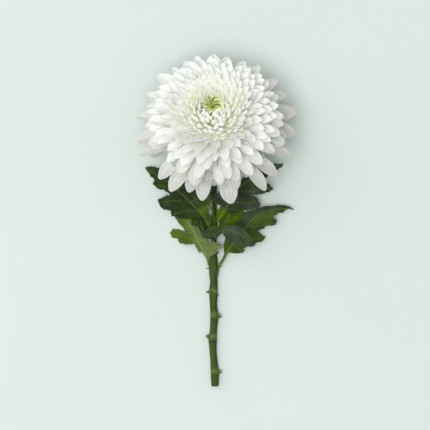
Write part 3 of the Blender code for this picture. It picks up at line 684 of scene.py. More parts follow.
@dataclass
class Bloom:
    """The bloom: petals on a golden spiral from the back to the eye, round a receptacle."""

    place: Pixel = (216.0, 130.0)
    height: float = 43.5 * MM
    facing: Triple = (-0.06, 0.405, 0.912)
    radius: float = 58.5 * MM
    eye_dip: float = 11 * MM
    eye_dip_spread: float = math.radians(26)
    outer_angle: float = math.radians(117)
    inner_angle: float = math.radians(9)
    first_turn: float = math.radians(90)
    golden_turn: float = math.radians(137.508)
    outer_spacing: float = 14.8 * MM
    inner_spacing: float = 2.6 * MM
    spacing_angle: float = math.radians(85)
    spacing_rate: float = 1.3
    reach_jitter: float = 1.0 * MM
    rim_clearance: float = math.radians(6.5)
    notch_row: float = 160.0
    notch_reach: float = 62.0
    tucked_reach: float = 52.5
    under_from: float = math.radians(62)
    under_radius: float = 45 * MM
    under_spacing: float = 12.5 * MM
    back_count: int = 19
    back_jitter: float = 0.2
    back_midline: tuple[Pair, ...] = ((11.0, -12.0), (24.0, -19.0), (33.0, -13.0), (45.0, -14.0))
    back_half: float = 5.6 * MM
    back_short: float = 0.15
    back_over_stem: Pair = (0.75, 1.0)
    back_tints: Pair = (0.1, -0.3)
    root_out: Pair = (21 * MM, 0.9)
    root_ahead: Pair = (28 * MM, 0.95)
    start_lean: float = math.radians(14)
    start_rate: float = 0.74
    handles: Pair = (0.38, 0.3)
    eye_bends: Pair = (math.radians(-34), math.radians(-64))
    stem_side: Pair = (-0.7, 0.3)
    outer_bend: float = math.radians(22)
    bend_angles: Pair = (math.radians(22), math.radians(56))
    half_widths: Pair = (2.05 * MM, 5.8 * MM)
    half_jitter: Pair = (0.8, 1.14)
    rim_width: float = 1.12
    rim_loose: float = 0.35
    widest_angles: Pair = (math.radians(4), math.radians(90))
    cups: Pair = (0.7, 0.55)
    cup_jitter: Pair = (0.8, 1.2)
    cup_power: float = 1.8
    curl_most: float = 0.35
    curl_from: float = 0.62
    twist_degrees: float = 20.0
    sway_mm: float = 1.6
    heart_angles: Pair = (math.radians(8), math.radians(48))
    # painted shade: over these tip angles the outer petals are tinted toward grey
    painted_shade_angles: Pair = (math.radians(48), math.radians(92))
    scatter: float = 0.36
    heart_tint: float = 0.42
    # painted shade: how far the outer petals are tinted toward grey
    rim_painted_shade: float = 0.36
    root_tints: Pair = (0.45, 0.55)
    root_power: float = 1.2
    floor_round: float = 2 * MM
    floor_step: float = 6 * MM
    floor_rise: float = 0.6 * MM
    core_radius: float = 32 * MM
    core_back: Triple = (0.92, 0.92, 0.47)
    core_tint: float = 0.75
    large: BladeShape = BladeShape("large_petal", 6, 12, 0.5 * MM)
    small: BladeShape = BladeShape("small_petal", 4, 8, 0.45 * MM)
    outline: BladeShape = BladeShape("outline_petal", 6, 12, 0.5 * MM, widest=0.66, point=0.72)
    large_from: float = math.radians(52)
    rim_tips: tuple[Pixel, ...] = (
        (213.7, 54.5), (195.8, 56.2), (184.7, 61.7), (172.4, 67.3), (158.5, 74.6), (156.8, 87.4),
        (144.5, 95.2), (136.7, 117.5), (137.8, 141.0), (140.0, 154.4), (159.6, 179.0), (170.7, 191.2),
        (189.2, 192.3), (201.4, 200.1), (231.0, 203.5), (265.6, 190.1), (276.2, 176.7), (291.8, 158.8),
        (295.7, 133.2), (295.7, 112.0), (285.1, 94.1), (277.3, 80.7), (259.5, 66.2), (245.0, 61.7),
        (227.0, 57.3),
    )
    front_tips: tuple[Pixel, ...] = (
        (183.0, 181.0), (205.7, 187.3), (217.8, 180.2), (223.2, 188.4), (237.0, 183.5), (252.3, 173.1),
    )
    front_rise: float = 8 * MM
    draw: random.Random = field(default_factory=lambda: random.Random(SEED))

    def frame(self) -> Matrix:
        """Return the matrix from the bloom's own frame, facing its +Z, to the table."""
        facing = Vector(self.facing).normalized()
        side = Vector((1.0, 0.0, 0.0))
        side = (side - facing * side.dot(facing)).normalized()
        turn = Matrix((side, facing.cross(side), facing)).transposed().to_4x4()
        return Matrix.Translation(PLAN.seen(*self.place, self.height)) @ turn

    def reach(self, angle: float) -> float:
        """Return how far the petal tips are from the bloom's centre, less in the eye."""
        return self.radius - self.eye_dip * float(swell(angle, 0.0, self.eye_dip_spread))

    def spacing(self, angle: float) -> float:
        """Return the distance between petal tips at an angle from the bloom's axis."""
        share = min(1.0, angle / self.spacing_angle) ** self.spacing_rate
        return mix(self.inner_spacing, self.outer_spacing, share)

    def midline(self, angle: float, turn: float, radius: float) -> np.ndarray:
        """Find a petal's midline.

        Args:
            angle: Angle of its tip from the bloom's axis.
            turn: Angle round the axis.
            radius: Distance of its tip from the bloom's centre.

        Returns:
            Four points of a cubic curve, each an outward and a forward length.
        """
        def slope(lean: float) -> np.ndarray:
            """Return a direction at an angle from the axis."""
            return np.array((math.sin(lean), math.cos(lean)))

        root = np.array((self.root_out[0] * math.sin(self.root_out[1] * angle),
                         self.root_ahead[0] * math.cos(self.root_ahead[1] * angle)))
        tip = slope(angle) * radius
        length = float(np.linalg.norm(tip - root))
        inward = mix(*self.eye_bends, float(ease(-math.sin(turn), *self.stem_side)))
        bend = mix(inward, self.outer_bend, float(ease(angle, *self.bend_angles)))
        first = root + slope(self.start_lean + self.start_rate * angle) * self.handles[0] * length
        second = tip - slope(angle + bend) * self.handles[1] * length
        return np.array((root, first, second, tip))

    def petal_form(self, angle: float, turn: float, radius: float, rim: bool = False) -> BladePlace:
        """Give a petal its own width, cup and small irregularities.

        Args:
            angle: Angle of its tip from the axis.
            turn: Angle round the axis.
            radius: Distance of its tip from the centre.
            rim: Whether its tip makes the bloom's outline.

        Returns:
            The petal's place and form.
        """
        outer = float(ease(angle, *self.widest_angles))
        loose = self.rim_loose if rim else 1.0
        wide = self.rim_width if rim else 1.0
        return BladePlace(
            angle, turn, radius,
            half=mix(*self.half_widths, outer) * self.draw.uniform(*self.half_jitter) * wide,
            cup=mix(*self.cups, outer) * self.draw.uniform(*self.cup_jitter),
            heart=1.0 - float(ease(angle, *self.heart_angles)),
            curl=outer * self.draw.uniform(0.0, self.curl_most) * loose,
            twist=math.radians(self.draw.uniform(-self.twist_degrees, self.twist_degrees)) * loose,
            sway=self.draw.uniform(-self.sway_mm, self.sway_mm) * MM * loose * outer,
            rim=rim,
        )

    def spiral(self, turn: float, until: float, radius: float,
               spacing: Callable[[float], float]) -> Iterator[Pair]:
        """Walk a golden spiral from the back of the bloom toward the eye.

        Args:
            turn: Turn of its first petal.
            until: Angle from the axis at which it ends.
            radius: Distance from the centre at which its petals are spaced.
            spacing: Gives the distance between them at an angle.

        Yields:
            The angle and the turn of each petal.
        """
        angle = self.outer_angle
        while angle > until:
            yield angle, turn
            angle -= spacing(angle) ** 2 / (2 * math.pi * radius ** 2 * math.sin(angle))
            turn += self.golden_turn

    def places(self) -> list[BladePlace]:
        """Place every petal.

        Returns:
            Those of the outline, a spiral to the eye, those that are tucked in on the stem's side, and an
            under layer of shorter ones, so that no bare core shows between the others.
        """
        frame = self.frame()
        tips = [PLAN.seen(*pixel, self.height) for pixel in self.rim_tips]
        tips += [PLAN.seen(*pixel, self.height + self.front_rise) for pixel in self.front_tips]
        tips = [frame.inverted() @ tip for tip in tips]
        ahead = Vector((0.0, 0.0, 1.0))
        spots = [(tip.angle(ahead), math.atan2(tip.y, tip.x), tip.length, True) for tip in tips]
        rim = [tip.normalized() for tip in tips]
        tucked = []
        jitter = random.Random(SEED)
        for angle, turn in self.spiral(self.first_turn, self.inner_angle, self.radius, self.spacing):
            out = math.sin(angle)
            here = Vector((out * math.cos(turn), out * math.sin(turn), math.cos(angle)))
            radius = self.reach(angle) + jitter.uniform(-1, 1) * self.reach_jitter
            distance = self.notch_distance(frame @ (here * radius))
            if distance > self.notch_reach:
                tucked.append((angle, turn, radius * self.tucked_reach / distance))
            elif min(here.angle(other) for other in rim) > self.rim_clearance:
                loose = self.scatter * self.spacing(angle) / self.radius
                lean = angle + self.draw.uniform(-1, 1) * loose
                swing = turn + self.draw.uniform(-1, 1) * loose / out
                spots.append((lean, swing, radius))
        first = self.first_turn + self.golden_turn / 2
        under = self.spiral(first, self.under_from, self.under_radius, lambda angle: self.under_spacing)
        spots += tucked + [(angle, turn, self.under_radius) for angle, turn in under]
        return [self.petal_form(*spot) for spot in spots]

    def notch_distance(self, tip: Vector) -> float:
        """Return a tip's distance in pixels from the bloom's middle on the stem's side, else 0."""
        px, py = PLAN.pixel_of(tip)
        return math.dist((px, py), self.place) if py > self.notch_row else 0.0

    def lay(self, shape: np.ndarray, spot: BladePlace, midline: np.ndarray) -> np.ndarray:
        """Bend a flat blade to its place on the bloom.

        Args:
            shape: The blade's points, across, along and through.
            spot: Its place and form.
            midline: The cubic curve that it follows.

        Returns:
            The points on the table.
        """
        a, b, c, d = midline
        across, share, through = shape[:, 0:1], shape[:, 1:2], shape[:, 2:3]
        rest = 1.0 - share
        centre = cubic(midline, share)
        along = (b - a) * rest ** 2 + 2 * (c - b) * rest * share + (d - c) * share ** 2
        along /= np.linalg.norm(along, axis=1, keepdims=True)
        side = -spot.half * across
        lift = spot.cup * spot.half * share * np.abs(across) ** self.cup_power
        curled = np.clip((share - self.curl_from) / (1.0 - self.curl_from), 0.0, 1.0)
        lift = lift + spot.curl * spot.half * curled ** 2
        twist = spot.twist * share
        side, lift = (side * np.cos(twist) - lift * np.sin(twist),
                      side * np.sin(twist) + lift * np.cos(twist))
        side = side + spot.sway * share ** 2
        skin = self.to_table(centre, along, side, lift, spot, share)
        outside = self.to_table(centre, along, side, lift + 1.0, spot, share)
        floor = self.floor_rise + self.floor_step * max(0.0, self.outer_angle - spot.angle)
        over = (skin[:, 2] - floor) / self.floor_round
        pressed = skin.copy()
        pressed[:, 2] = floor + self.floor_round * np.logaddexp(0.0, over)
        return pressed + (outside - skin) * through

    def to_table(self, centre: np.ndarray, along: np.ndarray, side: np.ndarray, lift: np.ndarray,
                 spot: BladePlace, share: np.ndarray) -> np.ndarray:
        """Carry points given about a midline to the table.

        Args:
            centre: Midline points, outward and forward.
            along: Directions of the midline there.
            side: Distances across.
            lift: Distances to the petal's inner face.
            spot: The petal's place.
            share: Shares of the petal's length.

        Returns:
            The points on the table.
        """
        outward = centre[:, 0:1] - along[:, 1:2] * lift
        forward = centre[:, 1:2] + along[:, 0:1] * lift
        turn = spot.turn + spot.swirl * share ** 2
        x = outward * np.cos(turn) - side * np.sin(turn)
        y = outward * np.sin(turn) + side * np.cos(turn)
        frame = np.array(self.frame())
        return np.hstack([x, y, forward]) @ frame[:3, :3].T + frame[:3, 3]

    def lay_petal(self, points: np.ndarray, spot: BladePlace) -> tuple[np.ndarray, dict]:
        """Lay one petal.

        Args:
            points: The flat petal's points.
            spot: Its place and form.

        Returns:
            Its points, and its tint: more toward its root and toward the bloom's heart, and less on the
                outer petals, where it is painted shade.
        """
        # painted shade: the tint of the outer petals falls toward the grey rim colour
        outer = float(ease(spot.angle, *self.painted_shade_angles))
        root = (1.0 - points[:, 1]) ** self.root_power
        tint = (self.heart_tint * spot.heart - self.rim_painted_shade * outer
                + root * (self.root_tints[0] + self.root_tints[1] * spot.heart))
        return self.lay(points, spot, self.midline(spot.angle, spot.turn, spot.radius)), {"tint": tint}

    def lay_back_petal(self, points: np.ndarray, spot: BladePlace) -> tuple[np.ndarray, dict]:
        """Lay one petal of the ring at the back, shorter over the stem.

        Args:
            points: The flat petal's points.
            spot: Its place and form.

        Returns:
            Its points and its tint, which falls toward its tip into the grey painted as shade.
        """
        short = 1.0 - self.back_short * float(ease(-math.sin(spot.turn), *self.back_over_stem))
        midline = np.array(self.back_midline) * MM * (short, 1.0)
        # painted shade: toward the tip the tint falls into the grey rim colour
        tint = self.back_tints[0] + self.back_tints[1] * points[:, 1]
        return self.lay(points, spot, midline), {"tint": tint}

    def back_ring(self) -> list[BladePlace]:
        """Place a ring of petals that spring from the calyx and cover the back of the core.

        Returns:
            The petals' places and forms.
        """
        ring = []
        for index in range(self.back_count):
            where = index + self.draw.uniform(-self.back_jitter, self.back_jitter)
            turn = 2 * math.pi * where / self.back_count
            form = self.petal_form(self.outer_angle, turn, self.radius, True)
            ring.append(replace(form, half=self.back_half))
        return ring

    def receptacle(self) -> Item:
        """Model the core behind the petals: a dome in front with a flatter back.

        Returns:
            The core on the table.
        """
        deselect()
        bpy.ops.mesh.primitive_uv_sphere_add(segments=40, ring_count=20, radius=self.core_radius)
        item = bpy.context.object
        bpy.ops.object.mode_set(mode="EDIT")
        select_points(item, lambda place: place.z < -0.1 * MM)
        bpy.ops.transform.resize(value=self.core_back, center_override=(0.0, 0.0, 0.0))
        bpy.ops.object.mode_set(mode="OBJECT")
        item.name = "receptacle"
        put_values(item.data, tint=self.core_tint)
        item.data.transform(self.frame())
        return item

    def build(self, finish: bpy.types.Material) -> None:
        """Build the petals and the receptacle and dress them.

        Args:
            finish: Skin of the petals.
        """
        spots = self.places()
        rim = [spot for spot in spots if spot.rim]
        outer = [spot for spot in spots if spot.angle >= self.large_from and not spot.rim]
        inner = [spot for spot in spots if spot.angle < self.large_from and not spot.rim]
        pieces = [
            self.outline.copies("outline_petals", rim, self.lay_petal),
            self.large.copies("outer_petals", outer, self.lay_petal),
            self.small.copies("inner_petals", inner, self.lay_petal),
            self.outline.copies("back_petals", self.back_ring(), self.lay_back_petal),
            self.receptacle(),
        ]
        for piece in pieces:
            settle(piece, finish, "petal_white", "bloom_petals")
        LOG.info("petals: %d of the outline, %d outer and %d inner", len(rim), len(outer), len(inner))


@dataclass
class Eye:
    """The eye: a tight swirl of young green florets that lean in over its middle."""

    bloom: Bloom
    count: int = 150
    outer_angle: float = math.radians(15)
    base: float = 31 * MM
    foot: float = 10.0 * MM
    lean: float = 3.4 * MM
    least: float = 0.3
    rise: float = 15.5 * MM
    lengths: Pair = (0.5, 1.0)
    length_jitter: Pair = (0.93, 1.05)
    halves: Pair = (0.26, 0.40)
    cup: float = -0.7
    turn_jitter: float = 0.12
    twist_degrees: float = 15.0
    swirl: float = math.radians(34)
    swirl_jitter: Pair = (0.6, 1.3)
    belly: Pair = (1.03, 0.7)
    shoulder: Pair = (0.9, 1.08)
    tip_rises: Pair = (0.8, 0.96)
    pale_from: Pair = (0.45, 0.85)
    tip_from: Pair = (0.88, 1.0)
    tip_shade: float = 0.35
    tints: Pair = (0.40, 1.35)
    tint_power: float = 1.6
    shape: BladeShape = BladeShape("floret", 2, 6, 0.5 * MM, base=0.7, widest=0.6, point=0.6, blunt=0.3)

    def midline(self, share: float, length: float) -> np.ndarray:
        """Find a floret's midline, from its foot on the disc to its tip nearer the axis.

        Args:
            share: Share of the way from the eye's middle to its edge.
            length: Its length.

        Returns:
            Four points of a cubic curve, each an outward and a forward length.
        """
        foot = self.foot * share
        tip = max(self.least * foot, foot - self.lean)
        top = self.base + length
        return np.array((
            (foot, self.base),
            (foot * self.belly[0], mix(self.base, top, self.belly[1])),
            (mix(tip, foot, self.shoulder[0]), mix(self.base, top, self.shoulder[1])),
            (tip, mix(self.base, top, mix(*self.tip_rises, share))),
        ))

    def floret(self, index: int, draw: random.Random) -> tuple[float, BladePlace]:
        """Place one floret.

        Args:
            index: Its number, from the middle out.
            draw: What its irregularities are drawn from.

        Returns:
            Its share of the way from the middle to the edge, and its place and form.
        """
        share = math.sqrt((index + 0.5) / self.count)
        length = mix(*self.lengths, share) * self.rise * draw.uniform(*self.length_jitter)
        return share, BladePlace(
            self.outer_angle * share,
            index * self.bloom.golden_turn + draw.uniform(-self.turn_jitter, self.turn_jitter),
            length,
            half=mix(*self.halves, share) * MM, cup=self.cup, heart=1.0,
            twist=math.radians(draw.uniform(-self.twist_degrees, self.twist_degrees)),
            swirl=self.swirl * draw.uniform(*self.swirl_jitter))

    def lay(self, points: np.ndarray, spot: tuple[float, BladePlace]) -> tuple[np.ndarray, dict]:
        """Lay one floret.

        Args:
            points: The flat floret's points.
            spot: What floret gives for it.

        Returns:
            Its points, and its tint: less toward its tip and toward the eye's edge, so the feet of the
                inner florets get the darkest green, partly painted shade.
        """
        share, place = spot
        along = points[:, 1]
        pale = np.maximum(ease(along, *self.pale_from), share ** 3)
        shade = 1.0 - self.tip_shade * ease(along, *self.tip_from)
        tint = 1.0 - pale * shade * mix(*self.tints, share ** self.tint_power)
        return self.bloom.lay(points, place, self.midline(share, place.radius)), {"tint": tint}

    def build(self, finish: bpy.types.Material) -> None:
        """Build the florets and dress them.

        Args:
            finish: Skin of the eye.
        """
        draw = random.Random(SEED)
        florets = [self.floret(index, draw) for index in range(self.count)]
        settle(self.shape.copies("eye_swirl", florets, self.lay), finish, "eye_green", "eye_florets")


@dataclass
class Calyx:
    """Cup behind the bloom with three rows of overlapping green bracts."""

    bloom: Bloom
    top: float = -15.3 * MM
    length: float = 8 * MM
    radius: float = 12.4 * MM
    sides: int = 32
    rim: float = 0.8
    rings: tuple[Pair, ...] = ((0.04, 1.25), (0.25, 0.88), (0.3, 0.66), (0.25, 0.62), (0.16, 0.7))
    rows: int = 3
    bracts: int = 13
    feet: tuple[Pair, Pair] = ((0.30, -0.86), (0.18, -1.0))
    tips: tuple[Pair, Pair] = ((1.0, -0.05), (0.5, -0.55))
    belly: Pair = (1.02, 0.35)
    halves: Pair = (2.9, 1.8)
    cup: float = -0.25
    cup_green: float = 0.45
    cup_pale: float = 0.1
    bract_greens: Pair = (0.35, 0.4)
    bract_pale: float = 0.3
    shape: BladeShape = BladeShape("bract", 2, 4, 0.5 * MM, base=0.8, widest=0.5, point=0.7, blunt=0.2)

    def model_cup(self) -> Item:
        """Model the cup: a disc drawn out ring by ring to the neck.

        Returns:
            The cup on the table.
        """
        deselect()
        bpy.ops.mesh.primitive_circle_add(vertices=self.sides, radius=self.rim * self.radius,
                                          fill_type="NGON", location=(0.0, 0.0, self.top))
        item = bpy.context.object
        bpy.ops.object.transform_apply(location=True)
        bpy.ops.object.mode_set(mode="EDIT")
        bpy.ops.mesh.select_all(action="SELECT")
        for back, out in self.rings:
            bpy.ops.mesh.extrude_region_move(
                TRANSFORM_OT_translate={"value": (0.0, 0.0, -back * self.length)})
            bpy.ops.transform.resize(value=(out, out, 1.0))
        bpy.ops.mesh.select_all(action="SELECT")
        bpy.ops.mesh.normals_make_consistent(inside=False)
        bpy.ops.object.mode_set(mode="OBJECT")
        put_values(item.data, fresh=self.cup_green, pale=self.cup_pale, vein=0.0)
        item.data.transform(self.bloom.frame())
        return item

    def lay(self, points: np.ndarray, spot: tuple[int, int]) -> tuple[np.ndarray, dict]:
        """Lay one bract on the cup.

        Args:
            points: The flat bract's points.
            spot: Its row, 0 next to the petals, and its number in the row.

        Returns:
            Its points and its values.
        """
        row, index = spot
        down = row / (self.rows - 1)
        turn = 2 * math.pi * (index + 0.5 * (row % 2)) / self.bracts
        size = np.array((self.radius, self.length))
        foot = mix(*np.array(self.feet), down) * size
        tip = mix(*np.array(self.tips), down) * size
        belly = np.array((tip[0] * self.belly[0], mix(foot[1], tip[1], self.belly[1])))
        midline = np.array((foot, mix(foot, belly, 0.8), belly, tip)) + np.array((0.0, self.top))
        form = BladePlace(0.0, turn, 0.0, half=mix(*self.halves, down) * MM, cup=self.cup, heart=0.0)
        along = points[:, 1]
        fresh = self.bract_greens[0] + self.bract_greens[1] * along
        values = {"fresh": fresh, "pale": self.bract_pale * along ** 2, "vein": 0.0}
        return self.bloom.lay(points, form, midline), values

    def build(self, finish: bpy.types.Material) -> None:
        """Build the cup and its bracts and dress them.

        Args:
            finish: Skin of the calyx.
        """
        spots = [(row, index) for row in range(self.rows) for index in range(self.bracts)]
        piece = self.shape.copies("calyx_bracts", spots, self.lay, self.model_cup())
        settle(piece, finish, "calyx_green", "calyx")


class PegKind(Enum):
    """What stands out from the stem, with how fresh its green is."""

    STUB = 0.85
    STIPULE = 0.35
    SHOOT = 0.9


@dataclass(frozen=True)
class Peg:
    """Cut petiole stub, small stipule or side shoot, from one pixel to another."""

    kind: PegKind
    foot: Pixel
    tip: Pixel
    radii: Pair
    height: float = 3.2 * MM
    rise: float = 0.0
    sides: int = 14
    rings: int = 6
    inset: float = 0.22
    sink: float = 0.12
    lip: float = 0.18 * MM
    lip_at: Pair = (0.92, 0.12)
    taper: Pair = (0.0, 0.9)
    bow: float = 0.5 * MM
    pale: float = 0.55
    pale_from: Pair = (0.8, 1.0)

    def model(self) -> Item:
        """Model the peg: a small tube with rings, its cut end sunk where it is a stub.

        Returns:
            The peg on the table.
        """
        cut = self.kind is PegKind.STUB
        item = ringed_tube(self.sides, self.rings, (self.inset,) if cut else (), self.sink)
        straight = points_of(item)
        foot = np.array(PLAN.seen(*self.foot, self.height))
        tip = np.array(PLAN.seen(*self.tip, self.height + self.rise))
        way = (tip - foot) / np.linalg.norm(tip - foot)
        side = np.cross(way, (0.0, 0.0, 1.0))
        side /= np.linalg.norm(side)
        other = np.cross(way, side)
        share = straight[:, 2:3]
        radius = mix(*self.radii, ease(share, *self.taper))
        if cut:
            radius = radius + self.lip * swell(share, *self.lip_at)
        across = side * straight[:, 0:1] * radius + other * straight[:, 1:2] * radius
        bow = self.bow * np.sin(math.pi * share)
        put_points(item.data, foot + (tip - foot) * share + across + np.array((0.0, 0.0, 1.0)) * bow)
        pale = self.pale * ease(straight[:, 2], *self.pale_from)
        put_values(item.data, fresh=self.kind.value, pale=pale, vein=0.0)
        return item


@dataclass
class Stem:
    """Round stem with fine ridges, swollen nodes and what stands out from it."""

    bloom: Bloom
    radius: float = 3.0 * MM
    neck_radius: float = 2.1 * MM
    neck_rows: Pair = (244.0, 268.0)
    neck_back: float = 23.6 * MM
    neck_handle: float = 24 * MM
    neck_foot: Pixel = (214.0, 196.0)
    neck_steps: int = 9
    finer: int = 4
    steps: int = 400
    sides: int = 32
    rings: int = 150
    end_insets: Pair = (0.12, 0.30)
    end_sink: float = 0.002
    ridges: int = 9
    ridge_depth: float = 0.035
    wander: Pair = (0.25, 17.0)
    node_swell: float = 0.55 * MM
    node_length: float = 5.0
    node_places: tuple[float, ...] = (229.0, 266.0, 293.0, 317.0, 339.0, 373.0)
    scarred_from: int = 2
    scar_at: Pair = (-2.0, 2.0)
    crease_at: Pair = (2.2, 1.0)
    bark_from: float = 0.99
    pith_from: Pair = (0.9985, 1.0)
    pith_edge: Pair = (0.6, 0.9)
    pith_tone: float = 0.7
    green: float = 0.37
    lit_green: float = 0.14
    lit_turn: float = 0.5
    lit_from: Pair = (-0.2, 1.0)
    lit_edge: Pair = (0.9, 1.0)
    scar_tones: Pair = (0.3, 0.22)
    crease_tone: float = 0.4
    ridge_tone: float = 0.35
    ridge_from: Pair = (0.5, 1.0)
    line: tuple[Pixel, ...] = (
        (214.2, 208.0), (214.2, 226.0), (214.0, 246.0), (214.0, 262.0), (214.0, 268.5), (213.8, 277.7),
        (213.4, 292.0), (213.4, 305.5), (214.2, 315.0), (213.6, 328.6), (212.7, 339.0), (213.0, 350.0),
        (213.9, 361.0), (214.6, 372.0), (215.0, 386.0),
    )
    pegs: tuple[Peg, ...] = (
        Peg(PegKind.STUB, (212.5, 292.8), (206.0, 292.0), (1.7 * MM, 0.5 * MM)),
        Peg(PegKind.STUB, (212.4, 294.6), (209.8, 289.8), (2.0 * MM, 1.5 * MM), 5.2 * MM, 1.2 * MM),
        Peg(PegKind.STUB, (214.5, 294.0), (218.4, 295.5), (1.6 * MM, 0.9 * MM)),
        Peg(PegKind.STUB, (213.0, 319.5), (220.6, 315.2), (1.9 * MM, 1.5 * MM), 3.6 * MM, 0.6 * MM),
        Peg(PegKind.STUB, (213.0, 341.0), (206.4, 335.4), (2.0 * MM, 1.1 * MM), 3.6 * MM, 0.6 * MM),
        Peg(PegKind.STUB, (214.0, 375.0), (220.8, 371.0), (1.9 * MM, 1.5 * MM), 3.6 * MM, 0.6 * MM),
        Peg(PegKind.SHOOT, (212.6, 279.0), (209.2, 258.0), (2.5 * MM, 1.3 * MM), 2.8 * MM, 0.2 * MM),
        Peg(PegKind.SHOOT, (214.9, 277.0), (219.0, 265.0), (2.3 * MM, 1.1 * MM), 2.9 * MM, 0.6 * MM),
        Peg(PegKind.STIPULE, (212.0, 268.5), (205.0, 268.5), (0.9 * MM, 0.15 * MM)),
        Peg(PegKind.STIPULE, (216.0, 268.6), (222.6, 265.6), (0.9 * MM, 0.15 * MM)),
        Peg(PegKind.STIPULE, (216.0, 253.5), (219.6, 252.3), (0.8 * MM, 0.2 * MM)),
        Peg(PegKind.SHOOT, (215.4, 222.5), (210.9, 203.0), (0.9 * MM, 1.1 * MM), 3.8 * MM, 8.4 * MM),
        Peg(PegKind.SHOOT, (211.8, 209.5), (211.6, 201.3), (1.1 * MM, 0.3 * MM), 9.6 * MM, 3.4 * MM),
        Peg(PegKind.SHOOT, (211.6, 209.0), (207.3, 201.2), (0.9 * MM, 0.2 * MM), 9.6 * MM, 3.0 * MM),
    )

    def radius_at(self, py: float) -> float:
        """Return the stem's radius at a pixel row: thicker to the foot and at the nodes."""
        nodes = sum(float(swell(py, node, self.node_length)) for node in self.node_places)
        return (mix(self.neck_radius, self.radius, float(ease(py, *self.neck_rows)))
                + self.node_swell * nodes)

    def route(self) -> np.ndarray:
        """Find the stem's way from the calyx to the cut foot.

        Returns:
            Places along it in even steps, with a radius each.
        """
        frame = self.bloom.frame()
        top = frame @ Vector((0.0, 0.0, -self.neck_back))
        back = -(frame.to_3x3() @ Vector((0.0, 0.0, 1.0)))
        foot = PLAN.seen(*self.neck_foot, self.neck_radius)
        neck = (top, top + back * self.neck_handle, foot + Vector((0.0, self.neck_handle, 0.0)), foot)
        shares = [step / self.neck_steps for step in range(self.neck_steps + 1)]
        route = [(*cubic(neck, share), self.neck_radius) for share in shares]
        for px, py in self.line:
            radius = self.radius_at(py)
            route.append((*PLAN.seen(px, py, radius), radius))
        route = np.array(route)
        wheres = np.linspace(0.0, len(route) - 1.0, self.finer * len(route))
        fine = np.array([catmull(route, where) for where in wheres])
        runs = runs_of(fine[:, :3])
        even = np.linspace(0.0, runs[-1], self.steps)
        return np.stack([np.interp(even, runs, fine[:, axis]) for axis in range(4)], axis=1)

    def directions(self, route: np.ndarray) -> tuple[np.ndarray, np.ndarray]:
        """Find the two directions across the stem along its route, without a twist.

        Args:
            route: Places along it, with a radius each.

        Returns:
            A direction to one side and one square to it, for each place.
        """
        ways = np.gradient(route[:, :3], axis=0)
        ways /= np.linalg.norm(ways, axis=1, keepdims=True)
        side = np.array((1.0, 0.0, 0.0))
        sides = []
        for way in ways:
            side = side - way * side.dot(way)
            side = side / np.linalg.norm(side)
            sides.append(side)
        sides = np.array(sides)
        return sides, np.cross(ways, sides)

    def tube(self) -> Item:
        """Model the stem straight, with a sunk pith at its foot, and lay it along its route.

        Returns:
            The stem on the table.
        """
        item = ringed_tube(self.sides, self.rings, self.end_insets, self.end_sink)
        x, y, along = points_of(item).T
        route = self.route()
        sides, others = self.directions(route)
        where = np.clip(along, 0.0, 1.0) * (len(route) - 1)
        low = np.minimum(where.astype(int), len(route) - 2)
        part = (where - low)[:, None]
        centre = route[low] * (1 - part) + route[low + 1] * part
        turn = np.arctan2(y, x)
        out = np.hypot(x, y)
        ridge = np.cos(self.ridges * (turn + self.wander[0] * np.sin(along * self.wander[1])))
        radius = (centre[:, 3] * out * (1.0 + self.ridge_depth * (ridge - 1.0)))[:, None]
        across = sides[low] * np.cos(turn)[:, None] + others[low] * np.sin(turn)[:, None]
        points = centre[:, :3] + radius * across
        put_points(item.data, points)
        self.tone(item, PLAN.row_of(points[:, 1], points[:, 2]), along, turn, out, ridge)
        return item

    def tone(self, item: Item, rows: np.ndarray, along: np.ndarray, turn: np.ndarray, out: np.ndarray,
             ridge: np.ndarray) -> None:
        """Store the stem's tones: ridges, scars and creases at the nodes, and the pith of the cut.

        Args:
            item: The stem.
            rows: Pixel row of each vertex.
            along: Its share of the length.
            turn: Its angle round the stem.
            out: Its share of the radius.
            ridge: How much it is on a ridge, from -1 to 1.
        """
        past = rows[:, None] - np.array(self.node_places[self.scarred_from:])
        bark = out > self.bark_from
        scar = swell(past, *self.scar_at).sum(axis=1) * bark
        crease = swell(past, *self.crease_at).sum(axis=1)
        pith = ease(along, *self.pith_from) * (1.0 - ease(out, *self.pith_edge))
        lit = ease(-np.cos(turn + self.lit_turn), *self.lit_from) * ease(out, *self.lit_edge)
        fresh = self.green + self.lit_green * lit
        put_values(item.data, fresh=fresh + self.scar_tones[0] * scar - self.crease_tone * crease,
                   pale=self.pith_tone * pith + self.scar_tones[1] * scar,
                   vein=self.ridge_tone * ease(ridge, *self.ridge_from) * bark)

    def build(self, finish: bpy.types.Material) -> None:
        """Build the stem and its pegs and dress them."""
        pieces = [self.tube()] + [peg.model() for peg in self.pegs]
        settle(join(pieces, "ridged_stem"), finish, "stem_green", "stem", smooth=40.0)


@dataclass(frozen=True)
class Measured:
    """Plan points in pixels, measured against a leaf's midrib.

    For each: its share of the midrib's length, its distance to the left in pixels and from the midrib in
    millimetres, and the midrib's height there in millimetres.
    """

    spots: np.ndarray
    share: np.ndarray
    side: np.ndarray
    away: np.ndarray
    rib: np.ndarray


